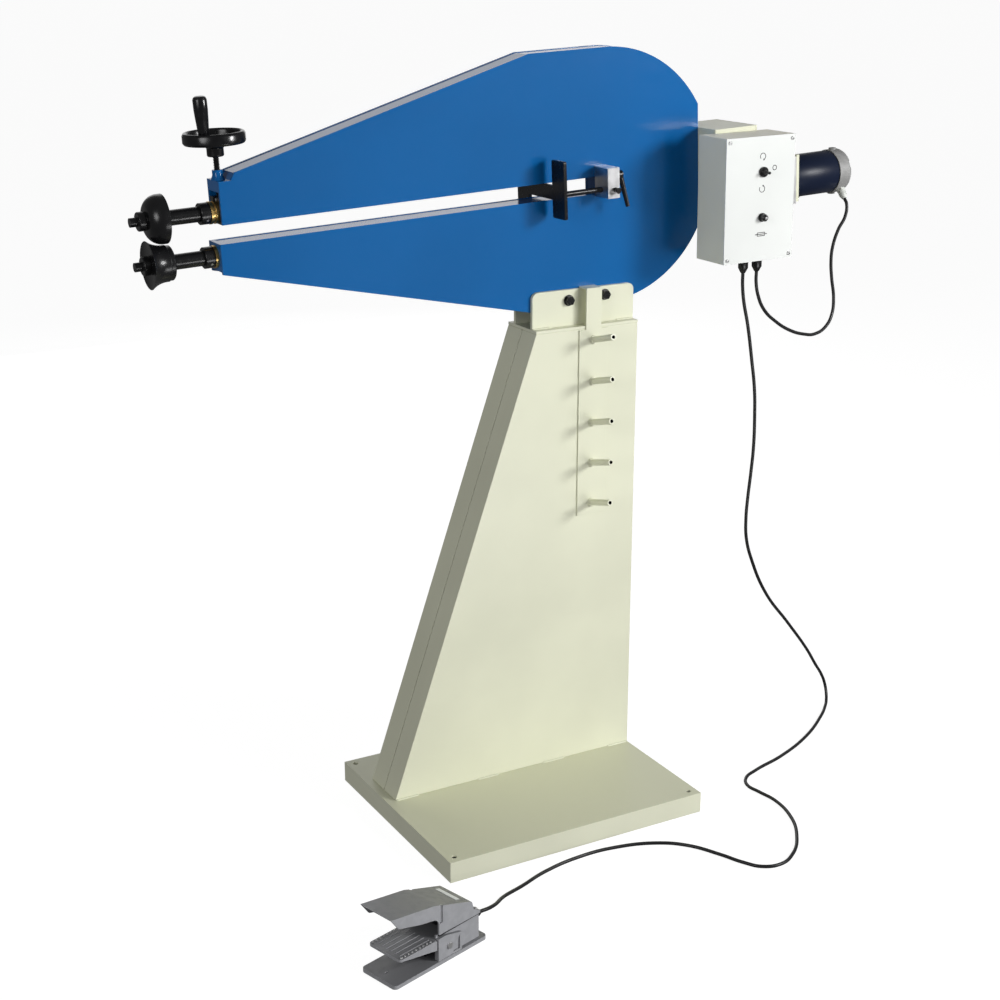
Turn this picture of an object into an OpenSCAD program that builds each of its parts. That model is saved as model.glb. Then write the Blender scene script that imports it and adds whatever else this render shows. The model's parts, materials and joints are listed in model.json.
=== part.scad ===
// Floor-standing electric bead roller.
// A welded throat frame on a sheet-steel stand carries two geared shafts with forming dies.
// A gear motor drives the lower shaft, a foot pedal switches it, and a handwheel sets the upper die.
// Sizes are in millimetres. +X runs from the dies to the motor, -Y faces the operator, +Z is up.
// The origin is on the floor, under the middle of the base tray.

/* [Stand] */
// Length of the base tray along X
base_len = 634; // [600:1:720]
// Width of the base tray along Y
base_wid = 530; // [480:1:620]
// Height of the base tray
base_h = 47; // [36:1:60]
// Sheet thickness of the base tray
base_t = 4; // [3:0.5:6]
// Diameter of the floor anchor holes
anchor_d = 12; // [8:0.5:16]
// Distance of the anchor holes from the tray's edges
anchor_inset = 20; // [16:1:40]
// Width of the stiffener channel under the tray
stiffener_wid = 60; // [40:1:80]
// Height of the column's top above the floor
column_top = 1070; // [1000:1:1120]
// Depth of the column along X at its foot
column_foot = 614; // [500:1:630]
// Depth of the column along X at its top
column_head = 259; // [245:1:300]
// Width of the column along Y
column_wid = 121; // [110:1:140]
// Distance from the tray's middle to the column's middle along Y
column_offset = 96; // [70:1:140]
// Sheet thickness of the column shells
column_t = 3; // [2:0.5:5]
// Width of the seam between the column shells
seam_wid = 2; // [1:0.5:4]
// Thickness of the saddle's top plate
saddle_t = 6; // [4:0.5:10]
// Thickness of the saddle's cheeks
cheek_t = 8; // [6:0.5:12]
// Height of the cheeks above the column
cheek_h = 79; // [72:1:90]
// Radius of the cheeks' upper corners
cheek_r = 14; // [6:1:24]
// Set-back of the cheeks from the saddle's front edge
cheek_set = 2; // [0:0.5:6]
// Diameter of the head bolts
head_bolt_d = 12; // [10:1:16]
// Distance between the head bolts
head_bolt_gap = 92; // [70:1:120]
// Height of the head bolts above the column
head_bolt_rise = 58; // [54:1:62]
// Distance from the column's rear face to the middle of the head bolts
head_bolt_back = 121; // [100:1:140]

/* [Die rack] */
// Width of the rack strip on the column
rack_wid = 72; // [60:1:90]
// Width of the rack strip's neck
rack_neck_wid = 39; // [30:1:50]
// Thickness of the rack strip
rack_t = 3; // [2:0.5:5]
// Distance from the column's rear face to the middle of the rack
rack_back = 116; // [90:1:130]
// Length of the rack strip below the column's top
rack_drop = 430; // [420:1:520]
// Length of the pegs
peg_len = 82; // [60:1:100]
// Outer diameter of the pegs
peg_d = 14; // [10:0.5:18]
// Bore of the pegs
peg_bore = 8; // [5:0.5:9]
// Upward tilt of the pegs
peg_tilt = 15; // [5:1:25]
// Distance between the pegs
peg_pitch = 93; // [80:1:96]
// Distance of the first peg below the column's top
peg_first = 32; // [24:1:40]
// Number of pegs
peg_count = 5; // [2:1:5]
// Wall of the welded collar at each peg's root
peg_root_wall = 2; // [1.5:0.5:4]
// Length of the collar at each peg's root
peg_root_len = 5; // [4:0.5:8]

/* [Throat frame] */
// Nose-down pitch of the whole head
head_pitch = 2.7; // [0:0.1:3]
// Thickness of the head over its side plates
head_wid = 64; // [58:1:76]
// Thickness of the side plates
plate_t = 6; // [4:0.5:8]
// Reach of the nose in front of the head bolts
nose_reach = 808; // [760:1:850]
// Length by which the lower jaw is longer than the upper one
jaw_step = 8; // [6:1:9]
// Half height of the teardrop at the nose
nose_half = 91; // [86:1:96]
// Slope of the teardrop's straight flanks
flank_angle = 14.5; // [13.5:0.1:15]
// Radius of the teardrop's rear
rear_r = 271; // [262:1:280]
// Distance of the rear's centre behind the head bolts
rear_back = 66; // [50:1:80]
// Distance of the rear flat behind the head bolts
flat_back = 302; // [292:1:310]
// Height of the head's middle above the head bolts
head_rise = 251; // [246:1:256]
// Height of the throat slot
slot_h = 36; // [34:1:40]
// Distance of the throat's end behind the head bolts
slot_back = 48; // [20:1:60]
// Distance that the edge strips lie inside the plates' edges
rim_inset = 4; // [2:0.5:8]
// Thickness of the edge strips
rim_t = 5; // [4:0.5:6]
// Thickness of the rear end plate and the lower nose plate
end_plate_t = 10; // [8:1:14]
// Length of the level cap on the upper nose
cap_len = 34; // [32:1:38]
// Length of the ramp from the cap up to the plates' edge
cap_ramp = 9; // [4:0.5:9]
// Thickness of the cap on the upper nose
cap_t = 21; // [16:0.5:21.5]
// Height of the cap above the upper shaft
cap_rise = 61; // [58:1:66]
// Diameter of the boss on the cap
boss_d = 20; // [18:1:22]
// Height of the boss on the cap
boss_h = 19; // [14:1:22]
// Height of the boss's flared foot
boss_flare = 9; // [4:1:12]

/* [Shafts and dies] */
// Distance between the shafts
shaft_gap = 85; // [85:1:85]
// Diameter of the shafts
shaft_d = 30; // [28:1:30]
// Diameter of the die seats
seat_d = 22; // [20:1:24]
// Diameter of the threaded ends
thread_d = 20; // [18:0.5:20]
// Diameter of the shaft tips
tip_d = 18; // [14:0.5:18]
// Length of the shaft tips
tip_len = 15; // [10:1:20]
// Outer diameter of the front bushes
bush_d = 36; // [35:0.5:37]
// Diameter of the front bushes' flanges
bush_flange_d = 44; // [42:0.5:44]
// Thickness of the lower front bush's flange
bush_flange_t = 7; // [5:0.5:8]
// Length of the front bushes behind the flange
bush_len = 36; // [24:1:38]
// Diameter of the collars
collar_d = 42; // [40:1:46]
// Length of the collars
collar_len = 19; // [16:1:30]
// Length of bare shaft between collar and die
bare_len = 64; // [40:1:70]
// Length of the dies along the shaft
die_len = 42; // [40:1:43]
// Outer diameter of the upper die
die_d = 95; // [92:0.5:96]
// Radius of the upper die's rounded form
die_round = 30; // [28:0.5:34]
// Gap between the dies when closed, for the sheet
die_gap = 2; // [1:0.5:4]
// Diameter of the lower die's rim
die_rim_d = 94; // [88:0.5:96]
// Length by which the lower die's rim overhangs its seat
die_rim_over = 4; // [2:0.5:5]
// Length of the upper die's straight band and hub together
die_back_len = 14; // [12:1:16]
// Diameter of the upper die's hub
die_hub_d = 48; // [40:1:56]
// Diameter of the lower die's hub
lower_hub_d = 68; // [60:1:70]
// Diameter of the die nuts
nut_d = 37; // [32:1:40]
// Length of the die nuts
nut_len = 16; // [12:1:20]
// Module of the shaft gears
gear_module = 2.5; // [2.5:0.5:2.5]
// Face width of the shaft gears
gear_wid = 25; // [18:1:30]
// Backlash of the gears on the pitch circle
backlash = 0.5; // [0.3:0.1:0.8]

/* [Die adjustment] */
// Diameter of the adjusting screw
screw_d = 12; // [10:0.5:13]
// Distance of the adjusting screw behind the nose
screw_back = 11; // [10.5:0.5:14]
// Length of the upper bearing block along the shaft
block_len = 38; // [34:1:44]
// Diameter of the thrust pad
pad_d = 18; // [16:0.5:20]
// Thickness of the thrust pad
pad_t = 5; // [4.5:0.5:5]
// Wall of the bearing block over the bush and over the thrust pad
block_wall = 2.5; // [2:0.1:2.9]
// Outer diameter of the handwheel
wheel_d = 121; // [110:1:140]
// Height of the handwheel's rim
wheel_rim_h = 24; // [18:1:28]
// Wall of the handwheel's rim
wheel_rim_t = 9; // [6:0.5:12]
// Diameter of the handwheel's hub
wheel_hub_d = 33; // [28:1:40]
// Bare length of the screw between boss and handwheel hub
screw_bare = 25; // [20:1:32]
// Distance from the hub's underside to the rim's underside
wheel_hub_drop = 23; // [16:1:28]
// Length of the grip
grip_len = 84; // [60:1:96]
// Diameter of the grip at its upper end
grip_d = 27; // [22:1:30]
// Diameter of the grip at its lower end
grip_foot_d = 19; // [16:1:21]
// Diameter of the stud that the grip turns on
stud_d = 8; // [6:0.5:10]
// Outward lean of the grip
grip_lean = 3; // [0:1:8]
// Direction of the grip from the wheel's middle
grip_turn = 223; // [0:1:360]

/* [Drive] */
// Length of the gear case behind the rear flat, with its cover
case_len = 112; // [106:1:124]
// Height of the gear case
case_h = 198; // [190:1:210]
// Reach of the gear case from the head's middle towards the operator
case_near = 96; // [80:1:110]
// Reach of the gear case from the head's middle away from the operator
case_far = 54; // [51:1:70]
// Sheet thickness of the gear case
case_t = 3; // [2:0.5:4]
// Thickness of the gear case cover
cover_t = 4; // [3:0.5:6]
// Length of the gear reducer
reducer_len = 145; // [120:1:170]
// Side of the gear reducer's flanges
reducer_flange = 106; // [100:1:112]
// Diameter of the gear reducer
reducer_d = 98; // [88:1:100]
// Thickness of the gear reducer's flanges
reducer_flange_t = 10; // [6:1:14]
// Depth that the lower shaft enters the gear reducer
reducer_grip = 44; // [30:1:60]
// Thickness of the motor mount plate
mount_t = 8; // [5:0.5:12]
// Distance that the motor mount plate hangs below the shaft's centre line
mount_drop = -4; // [-10:1:10]
// Diameter of the motor
motor_d = 97; // [86:1:99]
// Length of the motor's body
motor_len = 124; // [110:1:160]
// Length of the motor's end bell
bell_len = 36; // [32:1:50]
// Wall rim of the end bell over the body
bell_rim = 1.5; // [1:0.5:3]

/* [Control box] */
// Width of the control box
box_wid = 183; // [170:1:200]
// Height of the control box
box_h = 267; // [250:1:290]
// Depth of the control box without its panel
box_depth = 97; // [90:1:110]
// Sheet thickness of the control box
box_t = 2; // [1.5:0.5:3]
// Thickness of the control panel
panel_t = 3; // [2:0.5:5]
// Pitch of the control box
box_pitch = 1; // [0:0.1:2]
// Distance from the control box's middle to the head bolts along X
box_back = 337; // [325:1:350]
// Height of the control box's middle above the column
box_rise = 265; // [250:1:280]
// Offset of the switch and fuse from the panel's middle
fitting_x = 7; // [-20:1:20]
// Height of the switch above the panel's middle
switch_z = 58; // [40:1:80]
// Depth of the fuse below the panel's middle
fuse_z = 39; // [20:1:60]
// Diameter of the switch's rubber boot
boot_d = 17; // [14:0.5:18]
// Length of the toggle lever from its pivot
toggle_len = 25; // [18:1:30]
// Diameter of the fuse cap
fuse_d = 15; // [12:0.5:18]
// Diameter of the cords
cord_d = 7.6; // [7:0.1:8]
// Diameter of the black glands
gland_d = 22; // [18:1:24]
// Length of the black glands
gland_len = 31; // [24:1:36]

/* [Throat gauge] */
// Distance of the gauge block behind the head bolts
gauge_back = 33; // [20:1:40]
// Width of the gauge block along the shafts
gauge_block_len = 29; // [24:1:36]
// Depth of the gauge block
gauge_block_depth = 52; // [46:1:60]
// Height of the gauge block
gauge_block_h = 64; // [56:1:72]
// Diameter of the gauge rod
gauge_rod_d = 12; // [10:0.5:14]
// Distance of the gauge rod from the near side plate
gauge_rod_out = 24; // [20:1:28]
// Reach of the gauge rod from the block to the fence
gauge_reach = 109; // [80:1:140]
// Thickness of the gauge fence
fence_t = 8; // [5:0.5:10]
// Height of the gauge fence
fence_h = 121; // [100:1:140]
// Height of the fence's middle above the slot's middle
fence_rise = 8; // [0:1:12]
// Overall width of the gauge fence
fence_wid = 196; // [180:1:210]
// Gap between the fence's two uprights
fence_gap = 98; // [80:1:100]
// Diameter of the gauge's clamp screws
clamp_d = 8; // [6:0.5:10]
// Length of the clamp lever's arm
lever_len = 70; // [56:1:80]

/* [Foot pedal] */
// Length of the pedal base
pedal_len = 247; // [240:1:270]
// Width of the pedal base
pedal_wid = 95; // [90:1:105]
// Thickness of the pedal base plate
pedal_t = 8; // [6:0.5:10]
// Height of the pedal body's seam above the floor
pedal_seam = 62; // [60:1:68]
// Length of the pedal's rear body
pedal_body_len = 116; // [108:1:122]
// Wall of the pedal castings
pedal_wall = 4; // [3:0.5:5]
// Width of the side ears that carry the pin
pedal_ear = 9; // [8:0.5:11]
// Diameter of the pedal pin
pedal_pin_d = 8; // [6:0.5:9]
// Height of the pedal pin
pedal_pin_z = 31; // [28:1:33]
// Distance of the pedal pin behind the toe edge
pedal_pin_x = 145; // [140:1:150]
// Height of the treadle's upper face
treadle_z = 55; // [54:1:58]
// Thickness of the treadle
treadle_t = 5; // [4:0.5:6]
// Height of the hood at its toe edge
hood_toe_z = 148; // [138:1:156]
// Height of the hood over the treadle's root
hood_mid_z = 122; // [118:1:128]
// Height of the hood's rear edge
hood_rear_z = 97; // [90:1:102]
// Diameter of the pedal's mounting holes
pedal_hole_d = 6; // [4:0.5:8]

/* [Hidden] */
$fn = 48;
seat_gap = 0.05;
run_gap = 0.05;
slide_gap = 0.2;
soft_gap = 0.3;

base_rear_x = base_len / 2;
column_base_x = base_rear_x - column_foot;
column_top_x = base_rear_x - column_head;
front_lean = atan((column_foot - column_head) / (column_top - saddle_t - base_h));
inner_half = head_wid / 2 - plate_t;

// The head's own frame: u along the shafts, v across from the head's middle, w up.
// It is turned about the head bolts by the pitch.
bolt_u = base_rear_x - head_bolt_back;
bolt_w = column_top + head_bolt_rise;
nose_u = bolt_u - nose_reach;
rear_u = bolt_u + rear_back;
flat_u = bolt_u + flat_back;
slot_end_u = bolt_u + slot_back;
head_w = bolt_w + head_rise;
upper_w = head_w + 26;
lower_w = upper_w - shaft_gap;
slot_top = upper_w - bush_flange_d / 2;
slot_bottom = slot_top - slot_h;
cap_w = upper_w + cap_rise;
cap_end_u = nose_u + cap_len;
block_end_u = nose_u + block_len + 1;
liner_inset = 1;
screw_u = nose_u + screw_back;

lower_nose_u = nose_u - jaw_step;
cap_edge_w = head_w + nose_half + (cap_end_u - lower_nose_u) * tan(flank_angle);
collar_u = lower_nose_u - bush_flange_t - soft_gap - collar_len;
die_u = collar_u - bare_len;
die_end_u = die_u - die_len;
nut_end_u = die_end_u - nut_len;
tip_u = nut_end_u - tip_len;
die_form_u = die_u - die_back_len;

gear_teeth = round(shaft_gap / gear_module);
gear_u = flat_u + 22;
case_end_u = flat_u + case_len;
cover_u = case_end_u - cover_t;
case_w = (upper_w + lower_w) / 2;
pivot_u = cover_u - 16;
ball_d = 50;
ball_wid = 20;
reducer_end_u = case_end_u + reducer_len;
motor_u = reducer_end_u + mount_t;
bell_u = motor_u + motor_len;
motor_gland_angle = 36;
motor_gland_len = 26;
motor_gland_u = bell_u + bell_len / 2;

pad_w = upper_w + bush_d / 2 + block_wall;
block_top = pad_w + pad_t + 2 * soft_gap + block_wall;
wheel_hub_w = cap_w + boss_h + screw_bare;
wheel_rim_w = wheel_hub_w + wheel_hub_drop;
web_t = 7;
grip_clear = 3;
grip_radius = wheel_d / 2 - wheel_rim_t - grip_foot_d / 2 - grip_clear;

box_x = bolt_u + box_back;
box_z = column_top + box_rise;
box_rear_y = column_offset - case_near;
panel_y = box_rear_y - box_depth;
gland_y = box_rear_y - 60;
gland_xs = [-9, 28];

gauge_block_u = bolt_u + gauge_back;
fence_u = gauge_block_u - gauge_reach - fence_t;
gauge_block_w = slot_bottom - 5;
gauge_rod_w = slot_bottom + 12;
gauge_rod_v = -head_wid / 2 - gauge_rod_out;
gauge_hub_v = 12 - head_wid / 2 - gauge_block_depth;
clamp_w = gauge_block_w + gauge_block_h - 17;
lock_u = gauge_block_u + gauge_block_len - 10;

pedal_pos = [-586, -555, 0];
pedal_turn = 17;
pedal_body_x = pedal_len - 15 - pedal_body_len;
pedal_gland_len = 14;
pedal_gland_y = 21;
pedal_gland_z = 51;

// Points of the head, the control box and the pedal in the world
function head_point(u, v, w) = [
    bolt_u + (u - bolt_u) * cos(head_pitch) - (w - bolt_w) * sin(head_pitch),
    column_offset + v,
    bolt_w + (u - bolt_u) * sin(head_pitch) + (w - bolt_w) * cos(head_pitch)
];
function box_point(x, y, z) = [
    box_x + x * cos(box_pitch) - z * sin(box_pitch), y, box_z + x * sin(box_pitch) + z * cos(box_pitch)
];
function pedal_point(x, y, z) = pedal_pos + [
    x * cos(pedal_turn) - y * sin(pedal_turn), x * sin(pedal_turn) + y * cos(pedal_turn), z
];
function motor_gland_point(r) = head_point(
    motor_gland_u, -r * sin(motor_gland_angle), lower_w - r * cos(motor_gland_angle)
);
motor_gland_tip = motor_d / 2 + bell_rim - 2 + motor_gland_len;

// Cord routes, from gland to gland, in millimetres
motor_cord_route = [
    motor_gland_point(motor_gland_tip), motor_gland_point(motor_gland_tip + 14),
    [892, 39, 1254], [873, 38, 1225], [856, 35, 1183], [852, 32, 1150], [853, 28, 1117],
    [857, 21, 1067], [849, 14, 1033], [825, 4, 1008], [783, -8, 996], [740, -18, 1002],
    [692, -28, 1018], [639, -40, 1047], [598, -50, 1079], [575, -57, 1112],
    box_point(gland_xs[1], gland_y, -box_h / 2 - gland_len - 24),
    box_point(gland_xs[1], gland_y, -box_h / 2 - gland_len)
];
pedal_cord_route = [
    box_point(gland_xs[0], gland_y, -box_h / 2 - gland_len),
    box_point(gland_xs[0], gland_y, -box_h / 2 - gland_len - 24),
    [532, -60, 1110], [547, -60, 1050], [562, -60, 972], [574, -60, 900], [578, -60, 840],
    [579, -60, 764], [575, -60, 705], [569, -60, 640], [567, -60, 596], [573, -57, 545],
    [600, -48, 480], [664, -25, 380], [763, 6, 272], [850, 34, 175], [895, 51.5, 119],
    [932.2, 65.5, 72.8], [943, 66.8, 51], [943.9, 59.2, 29], [934.5, 45.1, 11.5], [915, 26, 4.8],
    [869, -13, 4],
    [758, -88, 4], [641, -141, 4], [545, -170, 4], [502, -190, 4], [482, -222, 4],
    [486, -262, 4], [492, -310, 4], [476, -387, 4], [434, -462, 4], [372, -524, 4],
    [326, -543, 4], [286, -532, 4], [261, -498, 4], [239, -449, 4], [200, -382, 4],
    [150, -342, 4], [56, -312, 4], [-34, -309, 4], [-124, -326, 4.6], [-200, -358, 8],
    [-260, -394, 22],
    pedal_point(pedal_body_x + pedal_body_len + pedal_gland_len + 30, pedal_gland_y, pedal_gland_z - 4),
    pedal_point(pedal_body_x + pedal_body_len + pedal_gland_len, pedal_gland_y, pedal_gland_z)
];

cream = "#d9dbc4";
enamel = "#1b62a3";
black = "#1c1c1e";
steel = "#8c9096";
brass = "#c9a050";
casting = "#74767b";

// Helpers

// A flat outline in X and Z, given a thickness from y0 to y1
module slab(y0, y1) {
    translate([0, y1, 0]) rotate([90, 0, 0]) linear_extrude(y1 - y0) children();
}

// Places the head's own frame in the world
module in_head() {
    translate([bolt_u, column_offset, bolt_w])
        rotate([0, -head_pitch, 0])
            translate([-bolt_u, 0, -bolt_w])
                children();
}

// Places the control box, pitched about its middle, with y at the box's rear
module in_box() {
    translate([box_x, box_rear_y, box_z]) rotate([0, -box_pitch, 0]) children();
}

// Places the pedal: x from toe to heel, y from its right edge to its left
module in_pedal() {
    translate(pedal_pos) rotate([0, 0, pedal_turn]) children();
}

// A round bar along the shafts
module bar_u(u0, u1, d, w, v = 0) {
    translate([u0, v, w]) rotate([0, 90, 0]) cylinder(d = d, h = u1 - u0);
}

// A round bar across the head
module bar_v(v0, v1, d, u, w) {
    translate([u, v1, w]) rotate([90, 0, 0]) cylinder(d = d, h = v1 - v0);
}

// A rectangle with rounded corners
module rounded(len, wid, r) {
    translate([r, 0]) square([len - 2 * r, wid]);
    translate([0, r]) square([len, wid - 2 * r]);
    for (x = [r, len - r], y = [r, wid - r]) translate([x, y]) circle(r = r);
}

// A turned body along the shafts from a profile of [distance, radius] points
module turned(u, w, profile) {
    translate([u, 0, w])
        rotate([0, 90, 0])
            rotate_extrude($fn = 96)
                polygon([for (p = profile) [p[1], p[0]]]);
}

// Stand

module base_tray() color(cream) difference() {
    union() {
        difference() {
            translate([-base_len / 2, -base_wid / 2, 0]) cube([base_len, base_wid, base_h]);
            translate([base_t - base_len / 2, base_t - base_wid / 2, -base_t])
                cube([base_len - 2 * base_t, base_wid - 2 * base_t, base_h]);
        }
        difference() {
            translate([base_t - base_len / 2 - 0.5, -stiffener_wid / 2, 0])
                cube([base_len - 2 * base_t + 1, stiffener_wid, base_h - base_t / 2]);
            translate([-base_len / 2, base_t - stiffener_wid / 2, base_t])
                cube([base_len, stiffener_wid - 2 * base_t, base_h - 2 * base_t]);
        }
    }
    for (x = [-1, 1], y = [-1, 1])
        translate([x * (base_len / 2 - anchor_inset), y * (base_wid / 2 - anchor_inset), 0])
            cylinder(d = anchor_d, h = base_h + 1);
}

module column_profile(inset) {
    lean = inset / cos(front_lean);
    top = column_top - saddle_t;
    polygon([
        [base_rear_x - inset, base_h], [base_rear_x - inset, top],
        [column_top_x + lean, top], [column_base_x + lean, base_h]
    ]);
}

module column_shell(side) color(cream) {
    outer = column_wid / 2;
    translate([0, column_offset, 0]) mirror([0, side > 0 ? 0 : 1, 0]) {
        slab(outer - column_t, outer) column_profile(0);
        slab(seam_wid / 2, outer - column_t) difference() {
            column_profile(0);
            column_profile(column_t);
        }
    }
}

module column_near_shell() column_shell(-1);
module column_far_shell() column_shell(1);

module head_saddle() color(cream) difference() {
    translate([0, column_offset, 0]) {
        translate([column_top_x, -column_wid / 2, column_top - saddle_t])
            cube([column_head, column_wid, saddle_t]);
        for (side = [-1, 1]) {
            inner = side > 0 ? head_wid / 2 : -head_wid / 2 - cheek_t;
            slab(inner, inner + cheek_t) translate([column_top_x + cheek_set, column_top - cheek_r]) {
                difference() {
                    rounded(column_head - cheek_set, cheek_h + cheek_r, cheek_r);
                    translate([-1, 0]) square([column_head, cheek_r]);
                }
            }
        }
    }
    in_head() head_bolt_holes(head_wid + 4 * cheek_t);
}

module head_bolt_holes(len) {
    for (k = [-1, 1])
        bar_v(-len / 2, len / 2, head_bolt_d + 1, bolt_u + k * head_bolt_gap / 2, bolt_w);
}

// Each bolt has a hexagon head and washer on the near cheek and a nut on the far one
module head_bolts() color(black) in_head() {
    half = head_wid / 2 + cheek_t;
    washer_t = 2.5;
    head_t = head_bolt_d * 0.65;
    for (k = [-1, 1]) translate([bolt_u + k * head_bolt_gap / 2, 0, bolt_w]) {
        rotate([90, 0, 0]) {
            translate([0, 0, -half - washer_t - head_bolt_d])
                cylinder(d = head_bolt_d, h = 2 * half + 2 * washer_t + head_bolt_d + 1);
            translate([0, 0, half]) cylinder(d = head_bolt_d * 2, h = washer_t);
            translate([0, 0, half + washer_t]) cylinder(d = head_bolt_d * 1.73, h = head_t, $fn = 6);
            translate([0, 0, -half - washer_t]) cylinder(d = head_bolt_d * 2, h = washer_t);
            translate([0, 0, -half - washer_t - head_t])
                cylinder(d = head_bolt_d * 1.73, h = head_t, $fn = 6);
        }
        difference() {
            bar_v(seat_gap - inner_half, inner_half - seat_gap, head_bolt_d + 6, 0, 0);
            bar_v(-inner_half - 1, inner_half + 1, head_bolt_d + 1, 0, 0);
        }
    }
}

module die_rack() color(cream) {
    face_y = column_offset - column_wid / 2;
    cheek_y = column_offset - head_wid / 2 - cheek_t;
    hook_top = column_top + cheek_h + soft_gap + rack_t;
    rack_x = base_rear_x - rack_back;
    drop = max(rack_drop, peg_first + (peg_count - 1) * peg_pitch + peg_d + 2);
    translate([rack_x, 0, 0]) {
        slab(face_y - rack_t, face_y) {
            translate([-rack_wid / 2, column_top - drop]) square([rack_wid, drop - 8]);
            translate([-rack_neck_wid / 2, column_top - 20])
                square([rack_neck_wid, hook_top - column_top + 20]);
        }
        translate([-rack_neck_wid / 2, face_y - rack_t, hook_top - rack_t])
            cube([rack_neck_wid, cheek_y + cheek_t - face_y + rack_t, rack_t]);
        for (k = [0:peg_count - 1])
            translate([0, face_y - rack_t, column_top - peg_first - k * peg_pitch]) peg();
    }
}

// A hollow peg whose tilted root is set in a short welded collar
module peg() difference() {
    root_d = peg_d + 2 * peg_root_wall;
    rotate([90 - peg_tilt, 0, 0]) difference() {
        union() {
            translate([0, 0, -peg_d / 2]) cylinder(d = peg_d, h = peg_len + peg_d / 2);
            translate([0, 0, -root_d / 2]) cylinder(d = root_d, h = peg_root_len + root_d / 2);
        }
        translate([0, 0, 12]) cylinder(d = peg_bore, h = peg_len);
    }
    translate([-root_d, 0, -root_d]) cube(2 * root_d);
}

// Throat frame

// Points of an arc about a centre, swept between two angles
function arc(centre, r, a0, a1, n) = [
    for (k = [0:n]) let (a = a0 + (a1 - a0) * k / n) centre + r * [cos(a), sin(a)]
];

// Teardrop outline, drawn in from its edge by inset
module teardrop(inset) {
    reach = rear_r - inset;
    lip = nose_half - inset / cos(flank_angle);
    kink_u = lower_nose_u + (reach - lip) / tan(flank_angle);
    stop = acos((flat_u - inset - rear_u) / reach);
    polygon(concat(
        [[kink_u, head_w - reach], [lower_nose_u, head_w - lip]],
        [[lower_nose_u, head_w + lip], [kink_u, head_w + reach]],
        arc([rear_u, head_w], reach, 90, stop, 24),
        arc([rear_u, head_w], reach, -stop, -90, 24)
    ));
}

module side_plate(v) color(enamel) in_head() difference() {
    slab(v, v + plate_t) difference() {
        teardrop(0);
        translate([lower_nose_u - 1, slot_bottom]) square([slot_end_u - lower_nose_u + 1, slot_h]);
        translate([lower_nose_u - 1, slot_bottom]) square([jaw_step + 1, rear_r]);
        polygon([
            [lower_nose_u - 1, cap_w], [cap_end_u - cap_ramp, cap_w], [cap_end_u, cap_edge_w],
            [cap_end_u, head_w + rear_r], [lower_nose_u - 1, head_w + rear_r]
        ]);
    }
    head_bolt_holes(head_wid + 2);
}

module frame_plate_near() side_plate(-head_wid / 2);
module frame_plate_far() side_plate(inner_half);

module rim(from_u, low_w, high_w) color(enamel) in_head() slab(-inner_half, inner_half)
    intersection() {
        difference() {
            teardrop(rim_inset);
            teardrop(rim_inset + rim_t);
        }
        translate([from_u, low_w]) square([flat_u - end_plate_t - from_u, high_w - low_w]);
    }

module upper_rim_strip() rim(cap_end_u, slot_top + 20, head_w + rear_r);
module lower_rim_strip() rim(lower_nose_u + end_plate_t, head_w - rear_r, slot_bottom - 20);

module throat_liner() color(enamel) in_head() slab(-inner_half, inner_half) {
    outer = rim_t + liner_inset;
    translate([block_end_u, slot_top + liner_inset])
        square([slot_end_u + outer - block_end_u, rim_t]);
    translate([lower_nose_u + end_plate_t, slot_bottom - outer])
        square([slot_end_u + outer - lower_nose_u - end_plate_t, rim_t]);
    translate([slot_end_u + liner_inset, slot_bottom - outer])
        square([rim_t, slot_h + 2 * outer]);
}

module rear_end_plate() color(enamel) in_head() difference() {
    half = sqrt(pow(rear_r, 2) - pow(flat_u - rear_u, 2)) - rim_inset;
    translate([flat_u - end_plate_t, -inner_half, head_w - half])
        cube([end_plate_t, 2 * inner_half, 2 * half]);
    bar_u(flat_u - end_plate_t - 1, flat_u + 1, bush_d + 2 * seat_gap, lower_w);
    bar_u(flat_u - end_plate_t - 1, flat_u + 1, shaft_d + 8, upper_w);
}

module lower_nose_plate() color(enamel) in_head() difference() {
    low = head_w - nose_half + rim_inset;
    translate([lower_nose_u, -inner_half, low])
        cube([end_plate_t, 2 * inner_half, slot_bottom - low]);
    bar_u(lower_nose_u - 1, lower_nose_u + end_plate_t + 1, bush_d + 2 * seat_gap, lower_w);
}

module screw_boss() color(enamel) in_head() difference() {
    union() {
        translate([nose_u, -inner_half, cap_w - cap_t]) cube([cap_len, 2 * inner_half, cap_t]);
        translate([screw_u, 0, cap_w]) cylinder(d = boss_d, h = boss_h);
        translate([screw_u, 0, cap_w]) cylinder(d1 = boss_d + 8, d2 = boss_d, h = boss_flare);
        slab(-inner_half, inner_half) polygon([
            [cap_end_u - cap_ramp, cap_w - 1], [cap_end_u, cap_w - 1],
            [cap_end_u, cap_edge_w - rim_inset], [cap_end_u - cap_ramp, cap_w]
        ]);
    }
    translate([screw_u, 0, cap_w - cap_t - 1])
        cylinder(d = screw_d + 2 * slide_gap, h = cap_t + boss_h + 2);
}

// Shafts and dies

module shaft(end_u, w) color(black) in_head() {
    bar_u(die_u, end_u, shaft_d, w);
    bar_u(die_end_u, die_u, seat_d, w);
    bar_u(nut_end_u, die_end_u, thread_d, w);
    bar_u(tip_u, nut_end_u, tip_d, w);
}

module lower_shaft() shaft(case_end_u + reducer_grip, lower_w);
module upper_shaft() shaft(pivot_u + ball_wid / 2 - 2, upper_w);

module front_bush(u, w, flange) color(brass) in_head() difference() {
    union() {
        bar_u(u - flange, u, bush_flange_d, w);
        bar_u(u, u + bush_len, bush_d, w);
    }
    bar_u(u - flange - 1, u + bush_len + 1, shaft_d + 2 * run_gap, w);
    difference() {
        bar_u(u - flange + 5, u - flange + 5 + max(0.01, flange - 11), bush_flange_d + 2, w);
        bar_u(u - flange, u, bush_flange_d - 4, w);
    }
}

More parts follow.
